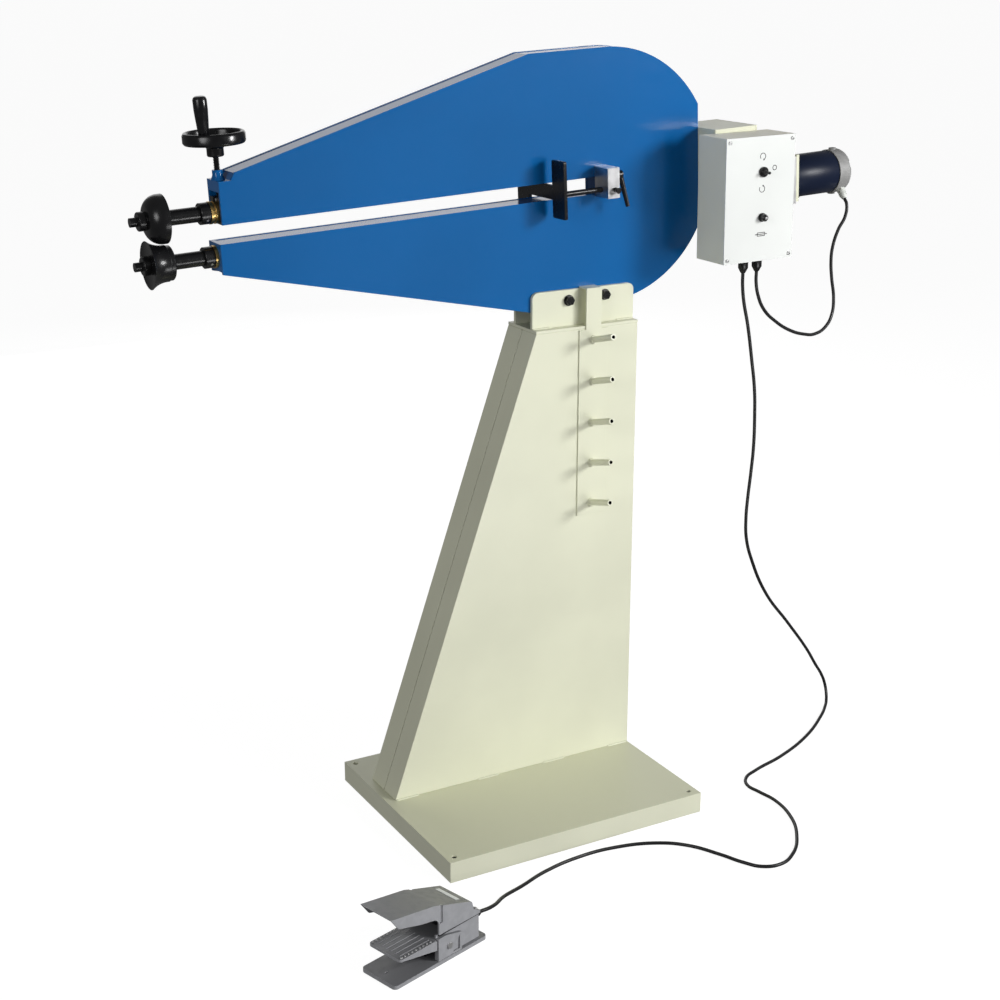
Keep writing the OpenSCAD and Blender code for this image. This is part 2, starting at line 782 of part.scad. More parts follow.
module lower_front_bush() front_bush(lower_nose_u, lower_w, bush_flange_t);
module upper_front_bush() front_bush(nose_u + 0.5, upper_w, jaw_step + bush_flange_t + 0.5);

module lower_rear_bearing() color(brass) in_head() difference() {
    union() {
        bar_u(flat_u - end_plate_t - 14, flat_u - end_plate_t, bush_flange_d, lower_w);
        bar_u(flat_u - end_plate_t, flat_u, bush_d, lower_w);
    }
    bar_u(flat_u - end_plate_t - 15, flat_u + 1, shaft_d + 2 * run_gap, lower_w);
}

module collar(w) color(black) in_head() difference() {
    turned(collar_u, w, [
        [0, shaft_d / 2 + seat_gap], [0, collar_d / 2 - 1], [1, collar_d / 2],
        [collar_len - 1, collar_d / 2], [collar_len, collar_d / 2 - 1],
        [collar_len, shaft_d / 2 + seat_gap]
    ]);
    translate([collar_u + collar_len * 0.62, 0, w])
        rotate([125, 0, 0]) translate([0, 0, collar_d / 2 - 4]) cylinder(d = 6, h = 6);
}

module lower_collar() collar(lower_w);
module upper_collar() collar(upper_w);

die_centre_r = die_d / 2 - die_round;
die_reach = die_len - die_back_len;

module upper_die() color(black) in_head() {
    end_angle = acos(die_reach / die_round);
    turned(die_end_u, upper_w, concat(
        [[0, seat_d / 2 + seat_gap]],
        [for (p = arc([die_reach, die_centre_r], die_round, 180 - end_angle, 90, 10)) p],
        [
            [die_reach + 8, die_d / 2], [die_reach + 8, die_hub_d / 2 + 2],
            [die_reach + 10, die_hub_d / 2], [die_len, die_hub_d / 2],
            [die_len, seat_d / 2 + seat_gap]
        ]
    ));
}

// The lower die's hollow is an arc from its lowest point to the rim
module lower_die() color(black) in_head() {
    low_r = shaft_gap - die_d / 2 - die_gap;
    rise = die_rim_d / 2 - low_r;
    run = die_reach + die_rim_over;
    cove = (run * run + rise * rise) / 2 / rise;
    turned(die_end_u, lower_w, concat(
        [
            [0, seat_d / 2 + seat_gap], [0, nut_d / 2 + 3],
            [1 - die_rim_over, die_rim_d / 2 - 3], [-die_rim_over, die_rim_d / 2 - 1]
        ],
        arc([die_reach, low_r + cove], cove, 270 - asin(run / cove), 270, 10),
        [
            [die_reach + 4, low_r], [die_reach + 5, lower_hub_d / 2], [die_len - 2, lower_hub_d / 2],
            [die_len, lower_hub_d / 2 - 2], [die_len, seat_d / 2 + seat_gap]
        ]
    ));
}

module die_nut(w) color(black) in_head() turned(nut_end_u, w, [
    [0, thread_d / 2 + seat_gap], [0, nut_d / 2 - 1.5], [1.5, nut_d / 2],
    [nut_len - 3, nut_d / 2], [nut_len - 3, nut_d / 2 - 2], [nut_len - 1, nut_d / 2 - 2],
    [nut_len - 1, nut_d / 2], [nut_len, nut_d / 2], [nut_len, thread_d / 2 + seat_gap]
]);

module lower_die_nut() die_nut(lower_w);
module upper_die_nut() die_nut(upper_w);

// Involute gear outline
function involute(a) = tan(a) * 180 / PI - a;
function tooth_half(r) =
    let (pitch_r = gear_module * gear_teeth / 2)
    let (base_r = pitch_r * cos(20))
    let (a = r > base_r ? acos(base_r / r) : 0)
    90 / gear_teeth - backlash / 4 / pitch_r * 180 / PI + involute(20) - involute(a);

module gear_outline() {
    pitch_r = gear_module * gear_teeth / 2;
    radii = [
        pitch_r - 1.25 * gear_module, pitch_r - 0.5 * gear_module,
        pitch_r + 0.25 * gear_module, pitch_r + 0.95 * gear_module
    ];
    polygon([
        for (k = [0:gear_teeth - 1]) each [
            for (r = radii) let (a = k * 360 / gear_teeth - tooth_half(r)) r * [cos(a), sin(a)],
            for (i = [3:-1:0])
                let (a = k * 360 / gear_teeth + tooth_half(radii[i]))
                radii[i] * [cos(a), sin(a)]
        ]
    ]);
}

module shaft_gear(w, turn) color(steel) in_head() difference() {
    translate([gear_u, 0, w]) rotate([0, 90, 0]) rotate([0, 0, turn]) {
        linear_extrude(gear_wid) gear_outline();
        cylinder(d = shaft_d + 20, h = gear_wid + 11);
    }
    bar_u(gear_u - 1, gear_u + gear_wid + 12, shaft_d + 2 * seat_gap, w);
}

// A tooth of the lower gear stands up into a gap of the upper one
module lower_gear() shaft_gear(lower_w, gear_teeth % 2 == 0 ? 0 : 180 / gear_teeth);
module upper_gear() shaft_gear(upper_w, 180 / gear_teeth);

// A T-slot, open at the nose, lets the thrust pad in and holds it down
module upper_bearing_block() color(black) in_head() difference() {
    slot_d = pad_d + 2 * soft_gap + 2 * slide_gap;
    low = upper_w - bush_flange_d / 2;
    translate([nose_u + 0.5, slide_gap - inner_half, low])
        cube([block_len, 2 * (inner_half - slide_gap), block_top - low]);
    bar_u(nose_u - 1, nose_u + block_len + 2, bush_d + 2 * seat_gap, upper_w);
    translate([screw_u, 0, pad_w]) cylinder(d = slot_d, h = pad_t + 2 * soft_gap);
    translate([nose_u - 1, -slot_d / 2, pad_w]) cube([screw_back + 1, slot_d, pad_t + 2 * soft_gap]);
    translate([screw_u, 0, pad_w]) cylinder(d = screw_d + 2, h = block_top);
    translate([nose_u - 1, -screw_d / 2 - 1, pad_w]) cube([screw_back + 1, screw_d + 2, block_top]);
}

// Distance and radius of points on a ball of radius r, from distance a to distance b
function ball_line(r, a, b, n) = [
    for (k = [0:n]) let (x = a + (b - a) * k / n) [x, sqrt(r * r - x * x)]
];

module upper_rear_insert() color(steel) in_head() {
    bore_r = shaft_d / 2 + run_gap;
    half = ball_wid / 2;
    turned(pivot_u, upper_w, concat(
        [[half, bore_r], [-half, bore_r]],
        ball_line(ball_d / 2, -half, half, 8)
    ));
}

module upper_bearing_housing() color(steel) in_head() {
    seat_r = ball_d / 2 + slide_gap;
    bore_r = ball_d / 2 - 3;
    outer_r = ball_d / 2 + 8;
    mouth = -ball_wid / 2 - 1;
    deep = sqrt(seat_r * seat_r - bore_r * bore_r);
    back = cover_u - pivot_u;
    turned(pivot_u, upper_w, concat(
        ball_line(seat_r, mouth, deep, 8),
        [[back, bore_r], [back, outer_r], [mouth, outer_r]]
    ));
}

// Die adjustment

module adjusting_screw() color(black) in_head() translate([screw_u, 0, 0]) {
    foot_w = pad_w + soft_gap + pad_t + run_gap;
    translate([0, 0, foot_w]) cylinder(d = screw_d, h = wheel_hub_w - foot_w + 30);
    translate([0, 0, foot_w - 3]) cylinder(d = screw_d - 4, h = 4);
}

module thrust_pad() color(steel) in_head() translate([screw_u, 0, pad_w + soft_gap]) difference() {
    cylinder(d = pad_d, h = pad_t);
    translate([0, 0, pad_t - 3.5]) cylinder(d = screw_d - 4 + 2 * run_gap, h = 4);
}

// Places the grip's own axis on the handwheel's web
module on_grip() {
    rotate([0, 0, grip_turn])
        translate([grip_radius, 0, wheel_rim_w + web_t])
            rotate([0, grip_lean, 0])
                children();
}

module handwheel() color(black) in_head() translate([screw_u, 0, 0]) difference() {
    union() {
        rotate_extrude($fn = 96) {
            r = wheel_d / 2;
            top = wheel_rim_w + wheel_rim_h;
            polygon([
                [screw_d / 2 + seat_gap, wheel_hub_w], [wheel_hub_d / 2 - 2, wheel_hub_w],
                [wheel_hub_d / 2, wheel_hub_w + 2], [wheel_hub_d / 2, wheel_rim_w - 7],
                [wheel_hub_d / 2 + 6, wheel_rim_w - 2], [r - 10, wheel_rim_w],
                [r - 3, wheel_rim_w + 1], [r, wheel_rim_w + 5], [r, top - 5], [r - 2, top - 1],
                [r - 4, top], [r - wheel_rim_t + 3, top], [r - wheel_rim_t, top - 3],
                [r - wheel_rim_t - 2, wheel_rim_w + web_t], [wheel_hub_d / 2, wheel_rim_w + web_t],
                [wheel_hub_d / 2 - 3, wheel_rim_w + web_t + 4],
                [screw_d / 2 + seat_gap, wheel_rim_w + web_t + 4]
            ]);
        }
        on_grip() translate([0, 0, -web_t / 2]) cylinder(d = stud_d, h = grip_len - 10);
        on_grip() translate([0, 0, -web_t / 2]) cylinder(d = grip_foot_d - 4, h = web_t / 2 + 3);
    }
    translate([0, 0, wheel_rim_w + web_t]) cylinder(d = screw_d + 2 * seat_gap, h = 10);
}

module handwheel_grip() color(black) in_head() translate([screw_u, 0, 0]) on_grip()
    translate([0, 0, 3 + soft_gap]) difference() {
        rotate_extrude() polygon([
            [0, 0], [grip_foot_d / 2 - 1, 0], [grip_foot_d / 2, 1], [grip_foot_d / 2 + 0.5, 10],
            [grip_d / 2 - 1, grip_len * 0.5], [grip_d / 2, grip_len * 0.7],
            [grip_d / 2, grip_len - 6], [grip_d / 2 - 2, grip_len - 1.5],
            [grip_d / 2 - 5, grip_len], [0, grip_len]
        ]);
        translate([0, 0, -1]) cylinder(d = stud_d + 2 * run_gap, h = grip_len - 10);
    }

// Drive

module gear_case() color(cream) in_head() difference() {
    translate([flat_u, -case_near, case_w - case_h / 2])
        cube([case_len - cover_t, case_near + case_far, case_h]);
    translate([flat_u + case_t, case_t - case_near, case_w - case_h / 2 + case_t])
        cube([case_len, case_near + case_far - 2 * case_t, case_h - 2 * case_t]);
    for (w = [lower_w, upper_w]) bar_u(flat_u - 1, flat_u + case_t + 1, shaft_d + 8, w);
}

module gear_case_cover() color(cream) in_head() difference() {
    translate([cover_u, -case_near, case_w - case_h / 2])
        cube([cover_t, case_near + case_far, case_h]);
    bar_u(cover_u - 1, case_end_u + 1, shaft_d + 8, lower_w);
}

module gear_reducer() color(steel) in_head() difference() {
    union() {
        for (u = [case_end_u, reducer_end_u - reducer_flange_t])
            translate([u, -reducer_flange / 2, lower_w - reducer_flange / 2])
                cube([reducer_flange_t, reducer_flange, reducer_flange]);
        bar_u(case_end_u, reducer_end_u, reducer_d, lower_w);
        for (k = [1, 2])
            bar_u(case_end_u + reducer_len * k / 3 - 2, case_end_u + reducer_len * k / 3 + 2,
                reducer_d + 4, lower_w);
    }
    bar_u(case_end_u - 1, case_end_u + reducer_grip + 2, shaft_d + 2 * run_gap, lower_w);
}

module motor_mount_plate() color(cream) in_head()
    translate([reducer_end_u, -reducer_flange / 2, lower_w - mount_drop - reducer_flange / 2])
        cube([mount_t, reducer_flange, reducer_flange]);

module motor_body() color("#1e263c") in_head() {
    bar_u(motor_u, bell_u, motor_d - 2, lower_w);
    turned(motor_u + 3, lower_w, [
        [0, 0], [0, motor_d / 2 - 1], [2, motor_d / 2], [motor_len - 6, motor_d / 2],
        [motor_len - 4, motor_d / 2 - 1], [motor_len - 4, 0]
    ]);
}

// Cast end bell with four cooling notches and two brush caps
module motor_end_bell() color("#aaaaa8") in_head() difference() {
    r = motor_d / 2 + bell_rim;
    union() {
        turned(bell_u, lower_w, [
            [0, 0], [0, r], [bell_len - 8, r], [bell_len - 2.5, r - 3], [bell_len, r - 9],
            [bell_len, 0]
        ]);
        for (a = [0, 180]) translate([bell_u + bell_len * 0.4, 0, lower_w]) rotate([a, 0, 0])
            translate([0, 0, r - 6]) cylinder(d = 17, h = 9);
    }
    for (a = [45:90:315]) translate([bell_u + bell_len, 0, lower_w]) rotate([a + 22, 0, 0])
        translate([-10, -8, r - 7]) cube([12, 16, 20]);
    for (a = [0, 180]) translate([bell_u + bell_len * 0.4, 0, lower_w]) rotate([a, 0, 0])
        translate([0, 0, r + 1.5]) cylinder(d = 11, h = 4);
}

// Gland along +Z with a hexagon nut and a domed cap
module gland(d, len) {
    cylinder(d = d * 1.15, h = len * 0.25, $fn = 6);
    translate([0, 0, len * 0.25]) cylinder(d = d, h = len * 0.4);
    translate([0, 0, len * 0.65]) cylinder(d1 = d, d2 = cord_d + 3, h = len * 0.35);
}

module motor_gland() color("#d8dad6") in_head()
    translate([motor_gland_u, 0, lower_w]) rotate([180 - motor_gland_angle, 0, 0])
        translate([0, 0, motor_d / 2 + bell_rim - 2]) gland(18, motor_gland_len);

// Control box

module control_box() color("#c3c5b6") in_box() difference() {
    translate([-box_wid / 2, -box_depth, -box_h / 2]) cube([box_wid, box_depth, box_h]);
    translate([box_t - box_wid / 2, -box_depth - 1, box_t - box_h / 2])
        cube([box_wid - 2 * box_t, box_depth - box_t + 1, box_h - 2 * box_t]);
}

module control_panel() color("white") in_box() difference() {
    translate([-box_wid / 2, -box_depth - panel_t, -box_h / 2]) cube([box_wid, panel_t, box_h]);
    translate([fitting_x, 0, switch_z]) panel_hole(boot_d + 4 * slide_gap);
    translate([fitting_x, 0, -fuse_z]) panel_hole(fuse_d - 3);
}

module panel_hole(d) {
    translate([0, 1 - box_depth, 0]) rotate([90, 0, 0]) cylinder(d = d, h = panel_t + 2);
}

// Behind the panel: the switch body and the fuse tube. In front: the boot's ring and the fuse collar.
module panel_fittings() color(black) in_box() translate([fitting_x, -box_depth, 0]) {
    translate([0, -panel_t, switch_z]) rotate([90, 0, 0]) difference() {
        cylinder(d = boot_d + 5, h = 4);
        translate([0, 0, -1]) cylinder(d = boot_d + 2 * slide_gap, h = 6);
    }
    translate([0, 0, switch_z]) difference() {
        translate([-11, 0, -16]) cube([22, 30, 32]);
        rotate([-90, 0, 0]) translate([0, 0, -1]) cylinder(d = boot_d + 2 * slide_gap, h = 11);
    }
    translate([0, 0, -fuse_z]) rotate([90, 0, 0]) {
        translate([0, 0, panel_t]) cylinder(d = fuse_d + 4, h = 3);
        translate([0, 0, -36]) cylinder(d = fuse_d - 3 - 2 * slide_gap, h = 36 + panel_t);
    }
}

module toggle_lever() color(black) in_box()
    translate([fitting_x, -box_depth - panel_t, switch_z]) {
        sphere(d = boot_d);
        rotate([90, 0, 0]) {
            cylinder(d1 = boot_d * 0.75, d2 = 7, h = boot_d * 0.75);
            cylinder(d = 6, h = toggle_len - 3);
            translate([0, 0, toggle_len - 3]) sphere(d = 6);
        }
    }

module fuse_cap() color(black) in_box()
    translate([fitting_x, -box_depth - panel_t - 3 - soft_gap, -fuse_z]) rotate([90, 0, 0]) {
        cylinder(d = fuse_d, h = 9);
        translate([0, 0, 9]) cylinder(d1 = fuse_d, d2 = fuse_d - 4, h = 3);
        translate([-1, -fuse_d / 2 + 2, 12]) cube([2, fuse_d - 4, 1]);
    }

// Two glands under the control box and one at the pedal's heel
module cord_glands() color(black) {
    for (x = gland_xs) in_box() translate([x, gland_y - box_rear_y, -box_h / 2])
        rotate([180, 0, 0]) gland(gland_d, gland_len);
    in_pedal() translate([pedal_body_x + pedal_body_len, pedal_gland_y, pedal_gland_z])
        rotate([0, 90, 0]) gland(14, pedal_gland_len);
}

// Throat gauge

module gauge_block() color("silver") in_head() difference() {
    translate([gauge_block_u, -head_wid / 2 - gauge_block_depth, gauge_block_w])
        cube([gauge_block_len, gauge_block_depth, gauge_block_h]);
    bar_u(gauge_block_u - 1, gauge_block_u + gauge_block_len + 1,
        gauge_rod_d + 2 * run_gap, gauge_rod_w, gauge_rod_v);
    bar_u(gauge_block_u + 8, gauge_block_u + gauge_block_len + 1,
        clamp_d + 2 * run_gap, clamp_w, gauge_hub_v);
    bar_v(-head_wid / 2 - gauge_block_depth - 1, gauge_rod_v,
        clamp_d + 2 * run_gap, lock_u, gauge_rod_w);
}

module gauge_rod() color(black) in_head()
    bar_u(fence_u + fence_t, gauge_block_u + gauge_block_len - 3, gauge_rod_d, gauge_rod_w, gauge_rod_v);

// Upright plates on both sides of the head, joined by a neck through the slot
module gauge_fence() color(black) in_head() translate([fence_u, 0, (slot_top + slot_bottom) / 2]) {
    leg = (fence_wid - fence_gap) / 2;
    for (v = [-fence_wid / 2, fence_gap / 2])
        rotate([90, 0, 90]) linear_extrude(fence_t)
            translate([v, fence_rise - fence_h / 2]) rounded(leg, fence_h, 4);
    translate([0, -fence_gap / 2 - 1, 3 - slot_h / 2]) cube([fence_t, fence_gap + 2, slot_h - 6]);
}

module clamp_lever() color(black) in_head()
    translate([gauge_block_u + gauge_block_len, gauge_hub_v, clamp_w]) {
        translate([2, 0, 0]) rotate([0, -90, 0]) cylinder(d = clamp_d, h = 16);
        translate([soft_gap, 0, 0]) rotate([0, 90, 0]) cylinder(d = 18, h = 12);
        translate([9, 0, 0]) rotate([172, 0, 0]) rotate([0, 10, 0]) cylinder(d1 = 12, d2 = 9, h = lever_len);
    }

module lock_screw() color(black) in_head()
    translate([lock_u, -head_wid / 2 - gauge_block_depth, gauge_rod_w]) rotate([90, 0, 0]) {
        reach = gauge_block_depth - gauge_rod_out - gauge_rod_d / 2 - soft_gap;
        translate([0, 0, -reach]) cylinder(d = clamp_d, h = reach + 1);
        translate([0, 0, soft_gap]) cylinder(d = clamp_d + 5, h = 12);
    }

// Foot pedal

// The pedal's rear body stands on the plate, with ears for the pin at its front corners
module pedal_base() color(casting) in_pedal() difference() {
    union() {
        linear_extrude(pedal_t) rounded(pedal_len, pedal_wid, 9);
        difference() {
            translate([pedal_body_x, pedal_ear, pedal_t])
                cube([pedal_body_len, pedal_wid - 2 * pedal_ear, pedal_seam - pedal_t]);
            translate([pedal_body_x - 1, pedal_ear + pedal_wall, pedal_t])
                cube([pedal_body_len - pedal_wall + 1, pedal_wid - 2 * pedal_ear - 2 * pedal_wall, pedal_seam]);
        }
        for (y = [2, pedal_wid - pedal_ear]) slab(y, y + pedal_ear - 2) polygon([
            [pedal_body_x, pedal_t - 1], [pedal_body_x, pedal_seam - 6], [pedal_body_x + 20, pedal_seam - 6],
            [pedal_body_x + 62, pedal_seam - 16], [pedal_body_x + 62, pedal_t - 1]
        ]);
    }
    translate([pedal_pin_x, -1, pedal_pin_z]) rotate([-90, 0, 0])
        cylinder(d = pedal_pin_d + 2 * seat_gap, h = pedal_wid + 2);
    for (y = [0, pedal_wid - pedal_ear + 4]) slab(y, y + pedal_ear - 4) polygon([
        [pedal_pin_x + 10, pedal_t + 4], [pedal_body_x + 57, pedal_t + 4], [pedal_body_x + 57, pedal_seam - 20]
    ]);
    for (x = [22, pedal_len - 8]) translate([x, pedal_wid / 2, -1])
        cylinder(d = pedal_hole_d, h = pedal_t + 2);
}

// A ribbed tread with side skirts, and a narrower root with the pin's barrel
module pedal_treadle() color(casting) in_pedal() difference() {
    edge = 3;
    root = pedal_ear + pedal_wall + 2;
    skirt_end = pedal_body_x - 3;
    union() {
        translate([17, edge, treadle_z - treadle_t])
            linear_extrude(treadle_t) rounded(skirt_end - 17, pedal_wid - 2 * edge, 8);
        for (y = [edge, pedal_wid - edge - 4]) slab(y, y + 4) polygon([
            [26, treadle_z - treadle_t], [skirt_end, treadle_z - 22], [skirt_end, treadle_z - 1],
            [26, treadle_z - 1]
        ]);
        translate([skirt_end - 12, root, treadle_z - 14])
            cube([pedal_pin_x - skirt_end + 16, pedal_wid - 2 * root, 14]);
        translate([0, root, 0]) slab(0, pedal_wid - 2 * root) polygon([
            [pedal_pin_x - 8, pedal_pin_z], [pedal_pin_x + 8, pedal_pin_z],
            [pedal_pin_x + 4, treadle_z - 2], [pedal_pin_x - 12, treadle_z - 2]
        ]);
        translate([pedal_pin_x, root, pedal_pin_z]) rotate([-90, 0, 0])
            cylinder(d = pedal_pin_d + 8, h = pedal_wid - 2 * root);
        for (k = [0:8]) translate([24 + k * 9.5, edge + 5, treadle_z - 1]) cylinder(d = 4, h = 2);
        for (k = [0:8]) translate([24 + k * 9.5, pedal_wid - edge - 5, treadle_z - 1]) cylinder(d = 4, h = 2);
    }
    translate([pedal_pin_x, -1, pedal_pin_z]) rotate([-90, 0, 0])
        cylinder(d = pedal_pin_d + 2 * run_gap, h = pedal_wid + 2);
}

// A shell over the foot: roof, side skirts with an arched mouth, and a rear cover on the body
module pedal_hood() color(casting) in_pedal() {
    edge = 5;
    front = pedal_body_x;
    back = pedal_body_x + pedal_body_len;
    kink_z = hood_mid_z + 8;
    roof = [
        [-2, hood_toe_z], [front - 6, kink_z], [front + 16, hood_mid_z],
        [back - 26, hood_rear_z + 1], [back - 22, hood_rear_z - 2], [back - 17, hood_rear_z - 20]
    ];
    difference() {
        slab(edge, pedal_wid - edge) difference() {
            polygon(concat(roof, [
                [back, pedal_seam + 6], [back, pedal_seam], [front + 5, pedal_seam],
                [front + 5, hood_mid_z - 38], [front - 10, hood_mid_z - 22],
                [front - 42, hood_mid_z - 16], [17, hood_toe_z - 26]
            ]));
            translate([front - 12, hood_mid_z - 39]) circle(r = 17);
        }
        slab(edge + pedal_wall, pedal_wid - edge - pedal_wall) polygon([
            [-12, hood_toe_z - pedal_wall + 2], [front - 6, kink_z - pedal_wall],
            [front + 16, hood_mid_z - pedal_wall], [back - 28, hood_rear_z - pedal_wall],
            [back - 21, hood_rear_z - 22 - pedal_wall], [back - pedal_wall, pedal_seam + 2],
            [back - pedal_wall, pedal_seam - 1], [-12, pedal_seam - 1]
        ]);
        for (y = [edge - 1, pedal_wid - edge + 1]) translate([front + 11, y, hood_mid_z - 36])
            cylinder(d = 9, h = hood_toe_z);
    }
}

module pedal_pin() color("#c8c9cc") in_pedal() translate([pedal_pin_x, 0, pedal_pin_z]) rotate([-90, 0, 0]) {
    translate([0, 0, 0]) cylinder(d = pedal_pin_d, h = pedal_wid);
    translate([0, 0, -1]) cylinder(d = pedal_pin_d + 5, h = 3);
    translate([0, 0, pedal_wid - 2]) cylinder(d = pedal_pin_d + 5, h = 3);
}

// Return spring between the base plate and the treadle, one wire wound round a circle
module pedal_spring() color(steel) in_pedal() {
    coil_r = 7;
    wire_d = 1.8;
    turns = 6;
    rise = treadle_z - treadle_t - pedal_t - wire_d - 2 * soft_gap;
    steps = 8 * turns;
    route = [
        for (k = [0:steps]) [
            84 + coil_r * cos(k * 45), pedal_wid / 2 + coil_r * sin(k * 45),
            pedal_t + soft_gap + wire_d / 2 + rise * k / steps
        ]
    ];
    tube(route, wire_d, 6);
}

module pedal_switch() color(black) in_pedal() translate([pedal_body_x - 6, pedal_wid / 2 - 14, pedal_t]) {
    cube([20, 28, 22]);
    translate([10, 14, 22]) cylinder(d = 7, h = 6);
}

// Cords

function unit(v) = v / norm(v);
function heading(p, k) =
    unit(p[min(k + 1, len(p) - 1)] - p[max(k - 1, 0)]);
function across(t, n) = unit(n - (n * t) * t);

// Cross directions carried along the route, so that the tube doesn't twist
function normals(p, k, n) =
    k == len(p) ? [] : let (next = across(heading(p, k), n)) concat([next], normals(p, k + 1, next));

module tube(route, d, sides) {
    first = abs(heading(route, 0)[1]) < 0.9 ? [0, 1, 0] : [1, 0, 0];
    side_dirs = normals(route, 0, first);
    rings = len(route);
    points = [
        for (k = [0:rings - 1], s = [0:sides - 1])
            let (a = s * 360 / sides)
            let (up = cross(heading(route, k), side_dirs[k]))
            route[k] + d / 2 * (cos(a) * side_dirs[k] + sin(a) * up)
    ];
    walls = [
        for (k = [0:rings - 2], s = [0:sides - 1])
            let (a = k * sides + s, b = k * sides + (s + 1) % sides)
            each [[a, a + sides, b], [b, a + sides, b + sides]]
    ];
    start = [[for (s = [0:sides - 1]) s]];
    end = [[for (s = [sides - 1:-1:0]) (rings - 1) * sides + s]];
    polyhedron(points, concat(walls, start, end));
}

module motor_cord() color(black) tube(motor_cord_route, cord_d, 8);
module pedal_cord() color(black) tube(pedal_cord_route, cord_d, 8);

base_tray();
column_near_shell();
column_far_shell();
head_saddle();
head_bolts();
die_rack();
frame_plate_near();
frame_plate_far();
upper_rim_strip();
lower_rim_strip();
throat_liner();
rear_end_plate();
lower_nose_plate();
screw_boss();
lower_shaft();
lower_front_bush();
lower_rear_bearing();
lower_collar();
lower_die();
lower_die_nut();
lower_gear();
upper_shaft();
upper_front_bush();
upper_bearing_block();
upper_rear_insert();
upper_bearing_housing();
upper_collar();
upper_die();
upper_die_nut();
upper_gear();
adjusting_screw();
thrust_pad();
handwheel();
handwheel_grip();
gear_case();
gear_case_cover();
gear_reducer();
motor_mount_plate();
motor_body();
motor_end_bell();
motor_gland();
control_box();
control_panel();
panel_fittings();
toggle_lever();
fuse_cap();
cord_glands();
gauge_block();
gauge_rod();
gauge_fence();
clamp_lever();
lock_screw();
pedal_base();
pedal_treadle();
pedal_hood();
pedal_pin();
pedal_spring();
pedal_switch();
motor_cord();
pedal_cord();
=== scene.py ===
"""A floor-standing electric bead roller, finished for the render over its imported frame."""

import json
import math

import bmesh
import bpy
from mathutils import Matrix, Vector


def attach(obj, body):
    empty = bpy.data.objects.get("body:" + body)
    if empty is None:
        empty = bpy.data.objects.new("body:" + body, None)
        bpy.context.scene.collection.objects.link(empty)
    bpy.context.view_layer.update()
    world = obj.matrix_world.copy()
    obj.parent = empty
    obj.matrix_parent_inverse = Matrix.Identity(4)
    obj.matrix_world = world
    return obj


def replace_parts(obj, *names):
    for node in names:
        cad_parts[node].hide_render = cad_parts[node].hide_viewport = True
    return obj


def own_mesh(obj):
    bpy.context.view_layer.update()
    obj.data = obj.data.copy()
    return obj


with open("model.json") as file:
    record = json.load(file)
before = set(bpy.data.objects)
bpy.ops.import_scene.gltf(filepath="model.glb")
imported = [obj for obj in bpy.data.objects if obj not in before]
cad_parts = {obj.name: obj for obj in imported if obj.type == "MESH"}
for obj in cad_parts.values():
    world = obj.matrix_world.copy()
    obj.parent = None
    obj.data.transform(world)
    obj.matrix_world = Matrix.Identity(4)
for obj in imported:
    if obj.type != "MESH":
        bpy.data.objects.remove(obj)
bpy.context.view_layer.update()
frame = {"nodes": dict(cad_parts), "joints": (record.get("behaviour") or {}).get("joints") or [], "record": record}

MM = 0.001
TURN = 2 * math.pi
NODES = frame["nodes"]
JOINTS = {joint["name"]: joint for joint in frame["joints"]}
BODY_OF = {node: body for body, nodes in frame["record"]["behaviour"]["bodies"].items() for node in nodes}


def local_frame(origin, along, across):
    """A turned frame in millimetres, as a matrix to the shared frame in metres."""
    x = Vector(along).normalized()
    y = Vector(across).normalized()
    turn = Matrix((x, y, x.cross(y))).transposed().to_4x4()
    return Matrix.Translation(origin) @ turn @ Matrix.Scale(MM, 4)


# The frames that pieces are built in: the lower shaft's axis, the toggle's place on the panel,
# the pedal's pin and the floor.
drive = JOINTS["drive_spin"]
toggle = JOINTS["toggle_flip"]
treadle = JOINTS["treadle_press"]
SHAFT = local_frame(drive["pos_m"], drive["axis"], (0, 1, 0))
PANEL = local_frame(toggle["pos_m"], toggle["axis"], (0, 1, 0))
pin_axis = Vector(treadle["axis"])
PEDAL = local_frame(treadle["pos_m"], Vector((0, 0, 1)).cross(pin_axis), -pin_axis)
FLOOR = Matrix.Scale(MM, 4)

# Directions in those frames
TO_OPERATOR = (0, -1, 0)
TO_MOTOR = (1, 0, 0)


class Tone:
    """A value that varies over a surface. Arithmetic on it adds Math nodes."""

    def __init__(self, finish, socket):
        self.finish = finish
        self.socket = socket

    def maths(self, operation, first, second):
        return self.finish.node("ShaderNodeMath", {"operation": operation}, {0: first, 1: second})

    def __add__(self, other):
        return self.maths("ADD", self, other)

    def __sub__(self, other):
        return self.maths("SUBTRACT", self, other)

    def __rsub__(self, other):
        return self.maths("SUBTRACT", other, self)

    def __mul__(self, other):
        return self.maths("MULTIPLY", self, other)

    __radd__ = __add__
    __rmul__ = __mul__

    def between(self, low, high):
        """0 below low, 1 above high, and smooth from one to the other."""
        settings = {"interpolation_type": "SMOOTHSTEP"}
        inputs = {"Value": self, "From Min": low, "From Max": high}
        return self.finish.node("ShaderNodeMapRange", settings, inputs)


